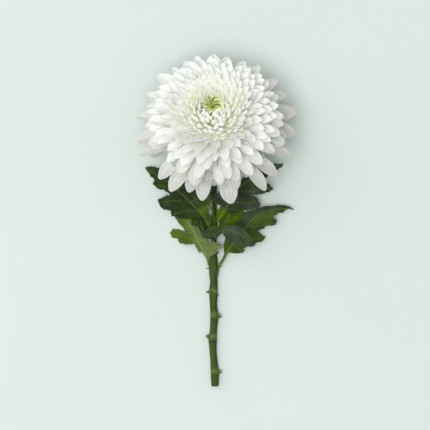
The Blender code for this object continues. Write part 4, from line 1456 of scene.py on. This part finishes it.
@dataclass
class Leaf:
    """Lobed leaf over the plan: outline, midrib with heights in millimetres, and lobe veins.

    A pair or two of tones are for the left and the right half. A third number of young, and
    painted_sheen_from, are shares of the midrib: where the young green at the root ends, and where the
    grey-blue sheen painted into the colour sets in.
    """

    name: str
    midrib: tuple[Triple, ...]
    outline: tuple[Pixel, ...]
    lobes: tuple[tuple[Pixel, Pixel], ...]
    tilt: tuple[Pair, Pair] = ((0.1, 0.1), (0.1, 0.1))
    tilt_from: Pair = (0.1, 0.6)
    droop: Pair = (0.0, 0.0)
    droop_length: float = 10.0
    wave: float = 0.6
    waves: float = 17.0
    wave_shift: float = 2.0
    wave_width: float = 8.0
    fresh: Pair = (0.2, 0.2)
    young: Triple = (0.0, 0.0, 0.3)
    pale: Pair = (0.0, 0.0)
    pale_fade: Pair = (1.5, 5.0)
    under_pale: float = 0.45
    # shares of the grey-blue sheen painted into the colour, for the left and the right half
    wax: Pair = (0.0, 0.0)
    painted_sheen_from: Pair = (0.12, 0.35)
    blend_over: Pair = (-1.5, 1.5)
    smooth: float = 60.0
    grid: float = 0.85
    row_step: float = 0.87
    grid_clear: float = 0.55
    corner_step: float = 0.6
    corner_pull: float = 10.0
    vein_share: float = 1.0
    vein_fade: float = 0.6
    vein_points: int = 12
    vein_reach: float = 0.96
    vein_bow: float = 0.07
    vein_weights: Pair = (0.5, 0.22)
    vein_widths: Pair = (0.6, 0.45)
    branch_gap: float = 5.5
    branch_reach: float = 4.5
    branch_lean: Pair = (0.72, 0.7)
    ditch_width: float = 3.2
    tooth: float = 1.1
    tooth_length: float = 3.3
    tooth_wander: Pair = (0.35, 0.37)
    tooth_power: float = 1.5
    tooth_in: float = 0.45
    tooth_from: Pair = (0.08, 0.25)
    quilting: float = 0.42
    quilt_level: float = 0.4
    quilt_from: Pair = (4.0, 14.0)
    floor: float = 0.6
    blade: float = 0.55
    petiole: float = 1.8
    petiole_length: float = 10.0
    rib: float = 0.35
    rib_width: float = 0.9

    def smooth_outline(self) -> np.ndarray:
        """Return the outline with its corners slightly rounded, even small steps and its teeth."""
        corners = np.array(self.outline)
        before = (np.roll(corners, 1, axis=0) + corners) / 2
        after = (np.roll(corners, -1, axis=0) + corners) / 2
        rounded = []
        for start, corner, end in zip(before, corners, after):
            length = np.linalg.norm(corner - start) + np.linalg.norm(end - corner)
            count = max(2, int(length / self.corner_step))
            for step in range(count):
                share = step / count
                rest = 1.0 - share
                weight = self.corner_pull * rest * share
                rounded.append((start * rest ** 2 + corner * weight + end * share ** 2)
                               / (rest ** 2 + weight + share ** 2))
        return self.toothed(np.array(rounded))

    def toothed(self, border: np.ndarray) -> np.ndarray:
        """Give an outline small teeth that point toward the leaf's tip.

        Args:
            border: The outline's plan points.

        Returns:
            The toothed outline.
        """
        x, y = border.T
        ways = np.roll(border, -1, axis=0) - np.roll(border, 1, axis=0)
        ways /= np.linalg.norm(ways, axis=1, keepdims=True)
        area = (x * np.roll(y, -1) - y * np.roll(x, -1)).sum()
        out = np.stack([ways[:, 1], -ways[:, 0]], axis=1) * np.sign(area)
        runs = np.cumsum(np.linalg.norm(border - np.roll(border, 1, axis=0), axis=1))
        wander = self.tooth_wander[0] * np.sin(runs * self.tooth_wander[1])
        phase = (runs / self.tooth_length + wander) % 1.0
        share = self.measure(border).share
        outward = np.roll(share, -2) > np.roll(share, 2)
        tooth = np.where(outward, phase, 1.0 - phase) ** self.tooth_power - self.tooth_in
        return border + out * (self.tooth * ease(share, *self.tooth_from) * tooth)[:, None]

    def measure(self, spots: np.ndarray) -> Measured:
        """Measure plan points against the midrib.

        Args:
            spots: The points in pixels.

        Returns:
            Them with their measures.
        """
        rib = np.array(self.midrib)
        runs = runs_of(rib[:, :2])
        best = np.full(len(spots), np.inf)
        share, side, height = np.zeros((3, len(spots)))
        for start, end, run, span in zip(rib, rib[1:], runs, np.diff(runs)):
            way = end[:2] - start[:2]
            part = np.clip(((spots - start[:2]) @ way) / span ** 2, 0.0, 1.0)
            off = spots - (start[:2] + part[:, None] * way)
            away = np.hypot(off[:, 0], off[:, 1])
            turn = way[0] * (spots[:, 1] - start[1]) - way[1] * (spots[:, 0] - start[0])
            nearer = away < best
            best = np.where(nearer, away, best)
            share = np.where(nearer, (run + span * part) / runs[-1], share)
            side = np.where(nearer, np.where(turn > 0, -away, away), side)
            height = np.where(nearer, mix(start[2], end[2], part), height)
        return Measured(spots, share, side, np.abs(side) * PLAN.pixel / MM, height)

    def vein_lines(self) -> list[tuple[np.ndarray, float]]:
        """Return the side veins and their branches as lines with a strength each."""
        lines = []
        for start, tip in self.lobes:
            start, tip = np.array(start), np.array(tip)
            way = tip - start
            length = np.linalg.norm(way)
            across = np.array((-way[1], way[0]))
            share = np.linspace(0.0, self.vein_reach, self.vein_points)[:, None]
            line = start + way * share + across * self.vein_bow * np.sin(math.pi * share)
            lines.append((line, self.vein_weights[0]))
            for step in range(1, max(2, int(length / self.branch_gap))):
                along = step * self.branch_gap / length
                foot = line[min(self.vein_points - 1, int(self.vein_points * along))]
                reach = self.branch_reach * (1.0 - 0.5 * along)
                for hand in (-1, 1):
                    lean = (way * self.branch_lean[0] + hand * across * self.branch_lean[1]) / length
                    lines.append((np.array([foot, foot + lean * reach]), self.vein_weights[1]))
        return lines

    def veins(self, at: Measured, width: float = 1.0) -> np.ndarray:
        """Find how strongly a vein shows.

        Args:
            at: The plan points.
            width: Breadth of the veins against their usual one.

        Returns:
            The strength at each, from 0 to 1.
        """
        strength = swell(at.side, 0.0, self.vein_widths[0] * width)
        for line, weight in self.vein_lines():
            for start, end in zip(line, line[1:]):
                way = end - start
                part = np.clip(((at.spots - start) @ way) / (way @ way), 0.0, 1.0)
                away = np.linalg.norm(at.spots - (start + part[:, None] * way), axis=1)
                strength = np.maximum(strength, weight * swell(away, 0.0, self.vein_widths[1] * width))
        return strength

    def plan_points(self) -> tuple[np.ndarray, int]:
        """Fill the outline with a grid of points.

        Returns:
            Outline and inner points in the plan, and how many make the outline.
        """
        border = self.smooth_outline()
        low, high = border.min(axis=0), border.max(axis=0)
        spots = []
        for row, y in enumerate(np.arange(low[1], high[1], self.grid * self.row_step)):
            xs = np.arange(low[0] + (row % 2) * self.grid / 2, high[0], self.grid)
            spots.append(np.stack([xs, np.full(len(xs), y)], axis=1))
        spots = np.concatenate(spots)
        odd = np.zeros(len(spots), dtype=bool)
        clear = np.full(len(spots), np.inf)
        for start, end in zip(border, np.roll(border, -1, axis=0)):
            crosses = (start[1] > spots[:, 1]) != (end[1] > spots[:, 1])
            run = (end[0] - start[0]) * (spots[:, 1] - start[1])
            edge = run / (end[1] - start[1] if end[1] != start[1] else 1.0) + start[0]
            odd ^= crosses & (spots[:, 0] < edge)
            clear = np.minimum(clear, np.hypot(*(spots - start).T))
        return np.concatenate([border, spots[odd & (clear > self.grid_clear * self.grid)]]), len(border)

    def build(self, finish: bpy.types.Material) -> None:
        """Build the blade with its vein relief and dress it.

        Args:
            finish: Skin of the leaves.
        """
        points, border = self.plan_points()
        rim = [(index, (index + 1) % border) for index in range(border)]
        flat, _, triangles, _, _, _ = delaunay_2d_cdt(
            [Vector(point) for point in points], rim, [list(range(border))], 1, 1e-5)
        at = self.measure(np.array([tuple(point) for point in flat]))
        height, thick = self.relief(at)
        middle = PLAN.seen_all(at.spots, height * MM)
        item = self.skin(middle, thick * MM / 2, [tuple(triangle) for triangle in triangles])
        self.tone(item, at)
        settle(item, finish, "leaf_green", self.name, smooth=self.smooth)

    def relief(self, at: Measured) -> tuple[np.ndarray, np.ndarray]:
        """Shape the blade over the plan.

        Args:
            at: The plan points.

        Returns:
            The height of the middle surface and the thickness at each, in millimetres.
        """
        runs = np.linalg.norm(np.diff(np.array(self.midrib)[:, :2], axis=0), axis=1)
        run = at.share * float(runs.sum() * PLAN.pixel / MM)
        left = at.side > 0
        ripple = (self.wave * np.sin(self.waves * at.share + np.where(left, 0.0, self.wave_shift))
                  * np.minimum(1.0, at.away / self.wave_width))
        spread = ease(at.share, *self.tilt_from)
        tilt = np.where(left, mix(*self.tilt[0], spread), mix(*self.tilt[1], spread))
        droop = np.where(left, *self.droop) * at.away ** 2 / self.droop_length
        height = np.maximum(self.floor, at.rib + tilt * at.away - droop + ripple)
        ditch = self.veins(at, self.ditch_width)
        height = height + self.quilting * (self.quilt_level - ditch) * ease(run, *self.quilt_from)
        thick = mix(self.petiole, self.blade, ease(run, 0.0, self.petiole_length))
        return height, thick + self.rib * swell(at.away, 0.0, self.rib_width) * (1.0 - at.share)

    def tone(self, item: Item, at: Measured) -> None:
        """Store the tones of the blade's two faces.

        Args:
            item: The blade.
            at: The plan points.
        """
        blend = ease(at.side, *self.blend_over)
        near = 1.0 - ease(at.share, 0.5 * self.young[2], self.young[2])
        fresh = mix(self.fresh[1], self.fresh[0], blend) + mix(self.young[1], self.young[0], blend) * near
        pale = mix(self.pale[1], self.pale[0] * (1.0 - ease(at.away, *self.pale_fade)), blend)
        # painted sheen: grey-blue patches that stand in for gloss, setting in along the midrib
        wax = mix(self.wax[1], self.wax[0], blend) * ease(at.share, *self.painted_sheen_from)
        vein = self.veins(at) * self.vein_share * (1.0 - self.vein_fade * at.share)
        under = np.minimum(1.0, pale + self.under_pale)
        put_values(item.data, fresh=np.tile(fresh, 2), pale=np.concatenate([pale, under]),
                   wax=np.tile(wax, 2), vein=np.tile(vein, 2))

    def skin(self, middle: np.ndarray, half: np.ndarray, triangles: list[tuple[int, ...]]) -> Item:
        """Make a closed blade round its middle surface.

        Args:
            middle: Points of the middle surface.
            half: Half the thickness at each.
            triangles: Triangles of the middle surface.

        Returns:
            The blade, with the upper face's points first.
        """
        name = self.name + "_blade"
        mesh = bpy.data.meshes.new(name)
        mesh.from_pydata([tuple(point) for point in middle], [], triangles)
        normals = np.array([tuple(vertex.normal) for vertex in mesh.vertices])
        if normals[:, 2].sum() < 0:
            triangles = [tuple(reversed(triangle)) for triangle in triangles]
            normals = -normals
        bpy.data.meshes.remove(mesh)
        count = len(middle)
        faces = triangles + [tuple(count + i for i in reversed(triangle)) for triangle in triangles]
        sides = [pair for a, b, c in triangles for pair in ((a, b), (b, c), (c, a))]
        paired = set(sides)
        faces += [(b, a, count + a, count + b) for a, b in sides if (b, a) not in paired]
        points = np.concatenate([middle + normals * half[:, None], middle - normals * half[:, None]])
        mesh = bpy.data.meshes.new(name)
        mesh.from_pydata([tuple(point) for point in points], [], faces)
        item = bpy.data.objects.new(name, mesh)
        bpy.context.scene.collection.objects.link(item)
        return item


LEAVES = (
    Leaf(
        "leaf_upper_left",
        midrib=(
            (211.0, 231.0, 3.9), (208.0, 225.0, 6.2), (204.0, 217.0, 8.0), (194.0, 206.0, 9.5),
            (184.0, 196.0, 10.5), (165.0, 180.0, 10.0), (144.2, 167.2, 7.0),
        ),
        outline=(
            (211.1, 232.0), (206.4, 226.5), (202.0, 220.5), (195.0, 219.0), (184.0, 219.0),
            (175.7, 216.8), (171.3, 216.0), (170.8, 210.6), (162.1, 209.0), (157.2, 199.8),
            (166.4, 195.4), (171.3, 194.9), (163.2, 189.5), (157.8, 188.9), (152.3, 184.0),
            (155.0, 180.2), (151.3, 177.0), (149.1, 173.7), (144.2, 167.2), (151.3, 166.1),
            (158.9, 168.3), (166.0, 166.5), (171.0, 174.0), (183.0, 169.0), (191.0, 176.0),
            (200.0, 178.5), (206.0, 179.5), (210.0, 184.0), (211.2, 190.0), (211.3, 196.0),
            (211.0, 200.5), (209.6, 204.6), (206.2, 207.5), (209.8, 209.5), (207.7, 212.2),
            (211.2, 216.6), (211.1, 229.5),
        ),
        lobes=(
            ((192.0, 204.0), (160.5, 202.0)), ((199.0, 211.5), (172.5, 214.5)),
            ((184.0, 196.0), (156.0, 185.0)), ((174.0, 187.5), (150.0, 176.0)),
            ((200.0, 213.0), (207.5, 204.0)), ((190.0, 202.0), (205.0, 191.0)),
            ((178.0, 191.0), (186.0, 174.0)), ((167.0, 181.5), (166.0, 169.0)),
        ),
        tilt=((-0.05, -0.05), (0.12, 0.12)), droop=(0.10, 0.0), wave=0.7, fresh=(0.03, 0.0),
        young=(0.15, 0.55, 0.40), wax=(0.15, 0.30),
    ),
    Leaf(
        "leaf_small_left",
        midrib=(
            (210.9, 236.0, 3.1), (206.0, 233.5, 3.6), (202.0, 229.0, 3.8), (200.5, 221.0, 4.0),
            (198.5, 211.0, 3.6),
        ),
        outline=(
            (210.8, 237.5), (205.4, 235.8), (202.0, 232.8), (197.5, 227.0), (191.5, 224.5),
            (191.0, 218.0), (188.5, 214.0), (192.0, 209.5), (198.5, 208.0), (204.5, 210.5),
            (205.3, 216.0), (207.8, 220.0), (206.2, 226.0), (208.6, 231.6), (210.7, 234.5),
        ),
        lobes=(
            ((202.0, 229.0), (193.0, 222.0)), ((200.5, 221.0), (191.5, 214.5)),
            ((202.0, 228.0), (206.5, 221.0)), ((200.0, 218.0), (203.5, 211.5)),
        ),
        tilt=((0.0, 0.0), (0.0, 0.0)), wave=0.2, fresh=(0.16, 0.12),
    ),
    Leaf(
        "leaf_lower_left",
        midrib=(
            (208.4, 265.0, 3.6), (206.8, 258.5, 4.8), (204.0, 252.0, 5.2), (198.0, 242.0, 5.2),
            (194.0, 232.0, 3.8), (189.0, 225.0, 2.6), (186.0, 215.5, 1.8), (182.0, 204.0, 1.3),
        ),
        outline=(
            (207.4, 265.2), (206.6, 259.5), (202.2, 252.3), (199.5, 252.9), (196.8, 249.1),
            (194.1, 243.7), (186.0, 244.8), (178.4, 242.6), (178.4, 239.3), (172.4, 237.7),
            (169.5, 232.8), (173.0, 229.0), (178.4, 229.0), (186.5, 231.7), (179.5, 224.2),
            (175.1, 218.2), (173.5, 210.0), (179.0, 204.5), (182.0, 201.5), (186.5, 206.0),
            (188.0, 213.0), (191.5, 219.0), (195.2, 225.8), (200.2, 232.2), (203.4, 237.2),
            (207.4, 239.0), (208.3, 242.0), (210.8, 242.8), (213.4, 240.8), (216.6, 243.2),
            (223.2, 245.0), (220.2, 246.4), (222.4, 247.9), (216.9, 249.6), (217.5, 252.0),
            (212.5, 255.5), (209.5, 257.5), (208.9, 261.0), (209.2, 265.0),
        ),
        lobes=(
            ((199.5, 244.5), (172.5, 234.0)), ((203.5, 251.0), (198.5, 251.5)),
            ((201.0, 247.0), (220.0, 247.0)), ((192.0, 229.0), (176.5, 213.5)),
            ((196.0, 237.0), (206.0, 241.0)), ((204.5, 253.0), (214.5, 253.0)),
        ),
        tilt=((-0.02, -0.02), (1.0, -0.1)), droop=(0.04, 0.10), wave=0.5, fresh=(0.78, 0.6),
        pale=(0.5, 0.68), wax=(0.22, 0.0), vein_share=1.4,
    ),
    Leaf(
        "leaf_lower_right",
        midrib=(
            (218.9, 266.0, 3.6), (226.0, 254.5, 4.6), (233.0, 243.0, 6.4), (244.0, 229.0, 8.4),
            (255.0, 217.0, 9.6), (264.0, 212.0, 10.4), (280.0, 208.4, 9.5), (294.9, 210.0, 6.0),
        ),
        outline=(
            (218.2, 264.8), (222.5, 258.0), (224.4, 253.4), (223.4, 247.0), (224.5, 239.3),
            (231.5, 238.0), (234.0, 231.0), (235.0, 223.0), (240.5, 219.5), (243.5, 213.5),
            (249.0, 210.8), (255.9, 209.8), (260.8, 207.3), (270.5, 205.7), (279.2, 204.6),
            (287.9, 205.7), (294.9, 210.0), (286.8, 209.0), (283.0, 212.8), (278.7, 212.8),
            (273.2, 216.6), (277.0, 220.9), (274.9, 225.2), (266.7, 225.8), (263.0, 229.0),
            (252.6, 231.2), (257.5, 230.9), (265.7, 237.2), (262.9, 241.0), (255.4, 243.1),
            (253.7, 246.4), (247.0, 246.5), (244.0, 248.0), (244.0, 252.3), (235.8, 253.4),
            (228.4, 252.5), (224.6, 259.5), (219.4, 267.4),
        ),
        lobes=(
            ((238.0, 236.7), (262.5, 238.5)), ((233.0, 243.0), (243.0, 250.5)),
            ((247.0, 225.7), (274.5, 222.0)), ((259.0, 214.8), (277.0, 212.0)),
            ((236.0, 239.2), (226.0, 241.0)), ((243.0, 230.3), (236.5, 224.0)),
            ((251.0, 221.4), (245.5, 216.0)), ((266.0, 211.6), (276.0, 206.0)),
        ),
        tilt=((-0.12, -0.12), (-0.02, -0.02)), droop=(0.06, 0.12), wave=0.7, fresh=(0.05, 0.36),
        young=(0.35, -0.05, 0.35), wax=(0.5, 0.2),
    ),
    Leaf(
        "leaf_small_right",
        midrib=((217.7, 234.0, 3.4), (223.0, 226.5, 3.4), (230.0, 213.5, 3.9), (237.0, 203.0, 3.5)),
        outline=(
            (217.6, 232.0), (218.2, 228.0), (218.7, 223.5), (220.4, 216.5), (221.4, 209.0),
            (224.5, 205.0), (228.5, 199.0), (233.5, 202.0), (237.0, 196.5), (243.0, 203.0),
            (242.0, 209.0), (246.5, 214.5), (240.0, 220.5), (240.5, 227.0), (232.0, 229.0),
            (227.0, 234.5), (221.5, 231.5), (218.2, 236.0),
        ),
        lobes=(
            ((224.5, 223.5), (244.0, 210.5)), ((223.5, 225.5), (238.5, 225.0)),
            ((227.0, 219.0), (224.5, 208.0)), ((231.0, 212.0), (240.0, 203.0)),
        ),
        tilt=((0.02, 0.02), (-0.02, -0.02)), wave=0.3, fresh=(0.62, 0.6),
    ),
    Leaf(
        "leaf_upper_right",
        midrib=(
            (216.9, 221.5, 3.9), (221.0, 216.0, 8.4), (226.0, 208.0, 9.7), (238.0, 190.0, 12.0),
            (243.0, 184.6, 12.2), (262.0, 172.0, 11.0), (283.8, 163.4, 7.0),
        ),
        outline=(
            (216.9, 219.5), (216.5, 214.0), (216.7, 209.9), (219.6, 208.6), (221.2, 205.2),
            (217.2, 204.4), (212.7, 202.4), (211.4, 198.4), (213.0, 194.2), (218.4, 193.4),
            (221.0, 188.0), (228.0, 182.0), (236.0, 183.0), (235.0, 174.0), (242.0, 169.5),
            (250.0, 172.5), (256.0, 164.0), (266.0, 161.5), (273.2, 164.0), (283.8, 163.0),
            (281.9, 167.2), (276.0, 170.5), (268.5, 173.5), (267.5, 177.2), (263.5, 179.4),
            (257.5, 183.5), (265.7, 183.0), (270.0, 184.6), (273.2, 188.9), (268.9, 192.2),
            (261.5, 194.3), (249.9, 194.5), (256.4, 197.0), (260.8, 203.6), (259.7, 205.7),
            (256.4, 210.0), (250.0, 210.4), (241.0, 210.5), (233.0, 213.0), (225.0, 214.5),
            (217.6, 223.2),
        ),
        lobes=(
            ((226.0, 208.0), (257.0, 208.0)), ((231.0, 200.5), (258.5, 201.5)),
            ((238.0, 190.0), (271.0, 188.5)), ((246.0, 182.6), (264.0, 177.5)),
            ((229.0, 203.5), (221.5, 195.0)), ((236.0, 193.0), (229.0, 186.0)),
            ((245.0, 183.3), (240.0, 173.0)), ((256.0, 176.0), (258.0, 165.0)),
        ),
        tilt=((0.10, 0.10), (0.08, 0.08)), droop=(0.0, 0.03), wave=0.6, fresh=(0.02, 0.02),
        young=(0.75, 0.75, 0.2), wax=(0.9, 0.85),
    ),
    Leaf(
        "leaf_front",
        midrib=(
            (214.0, 240.5, 5.4), (214.4, 236.5, 12.6), (218.0, 231.5, 20.0), (227.0, 229.5, 28.0),
            (237.0, 232.5, 32.5), (246.0, 239.0, 33.0), (253.4, 246.0, 29.5),
        ),
        outline=(
            (213.1, 240.4), (211.4, 238.4), (205.0, 237.4), (200.6, 234.2), (205.5, 230.1),
            (209.8, 226.9), (215.2, 225.8), (221.7, 226.5), (231.5, 225.2), (239.1, 226.3),
            (244.5, 229.6), (249.5, 235.0), (252.1, 239.3), (254.3, 245.3), (251.6, 246.9),
            (247.8, 245.8), (243.4, 245.8), (242.3, 247.7), (233.1, 241.5), (225.6, 238.6),
            (222.8, 232.6), (218.4, 235.4), (216.4, 238.4), (215.2, 240.4),
        ),
        lobes=(
            ((216.0, 234.0), (203.0, 234.5)), ((220.0, 231.0), (216.0, 227.0)),
            ((228.0, 229.7), (236.0, 226.8)), ((238.0, 233.2), (248.0, 234.5)),
            ((238.0, 233.2), (241.0, 246.0)), ((228.0, 229.7), (228.0, 237.0)),
        ),
        tilt=((-0.15, -0.15), (-0.35, -0.35)), droop=(0.12, 0.5), wave=0.5, fresh=(0.24, 0.14),
        wax=(0.75, 0.9), painted_sheen_from=(-0.1, 0.1), vein_share=0.4,
    ),
)


@dataclass(frozen=True)
class Studio:
    """Pale floor, soft light and the camera straight above."""

    floor_size: float = 8.0
    sky: Colour = (0.95, 1.0, 0.985)
    sky_strength: float = 0.56
    key_place: Triple = (-1.9, 1.1, 2.1)
    key_size: float = 3.2
    key_power: float = 29.0
    lamp_place: Triple = (-0.35, -0.2, 2.5)
    lamp_size: float = 1.2
    lamp_power: float = 43.0
    bounces: int = 24

    def light(self, name: str, place: Triple, size: float, power: float) -> None:
        """Add a square lamp that faces the flower.

        Args:
            name: Its name.
            place: Where it is, in metres.
            size: Its width in metres.
            power: Its power in watts.
        """
        bpy.ops.object.light_add(type="AREA", location=place)
        lamp = bpy.context.object
        lamp.name = name
        lamp.data.energy = power
        lamp.data.size = size
        lamp.rotation_euler = (-Vector(place)).to_track_quat("-Z", "Y").to_euler()

    def build(self) -> None:
        """Build the floor, the lights and the camera."""
        deselect()
        bpy.ops.mesh.primitive_plane_add(size=self.floor_size, location=(0.0, 0.0, 0.0))
        floor = bpy.context.object
        floor.name = "studio_floor"
        floor.data.materials.append(FloorFinish().make())
        scene = bpy.context.scene
        scene.world = bpy.data.worlds.new("studio")
        scene.world.use_nodes = True
        sky = scene.world.node_tree.nodes["Background"]
        sky.inputs["Color"].default_value = (*self.sky, 1.0)
        sky.inputs["Strength"].default_value = self.sky_strength
        self.light("key_light", self.key_place, self.key_size, self.key_power)
        self.light("lamp_above", self.lamp_place, self.lamp_size, self.lamp_power)
        x, y = PLAN.middle_place
        bpy.ops.object.camera_add(location=(x, y, PLAN.eye_height), rotation=(0.0, 0.0, 0.0))
        camera = bpy.context.object
        camera.name = "camera_above"
        camera.data.lens = camera.data.sensor_width * PLAN.eye_height / (PLAN.picture * PLAN.scale(0.0))
        scene.camera = camera
        scene.view_settings.view_transform = "Standard"
        scene.cycles.max_bounces = self.bounces
        scene.cycles.diffuse_bounces = self.bounces
        LOG.info("studio: floor, sky, key light, lamp and camera")


def build_flower() -> None:
    logging.basicConfig(level=logging.INFO, format="%(name)s: %(message)s")
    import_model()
    Studio().build()
    bloom = Bloom()
    bloom.build(PetalFinish().make())
    Eye(bloom).build(EyeFinish().make())
    leaf = GreenFinish("leaf_skin", deep=(0.015, 0.027, 0.006), fresh=(0.078, 0.148, 0.004),
                       pale=(0.15, 0.18, 0.07), vein=(0.17, 0.24, 0.05))
    stem = GreenFinish("stem_skin", deep=(0.028, 0.040, 0.014), fresh=(0.070, 0.108, 0.022),
                       pale=(0.36, 0.40, 0.16), vein=(0.12, 0.17, 0.05), streaks=(1.0, 0.06, 1.0),
                       patch=260.0, patches=(-0.12, 0.22), grain=1800.0, relief=0.35, vein_share=0.4)
    Calyx(bloom).build(replace(stem, name="calyx_skin", streaks=(1.0, 1.0, 1.0)).make())
    Stem(bloom).build(stem.make())
    dressed = leaf.make()
    for blade in LEAVES:
        blade.build(dressed)


if __name__ == "__main__":
    build_flower()
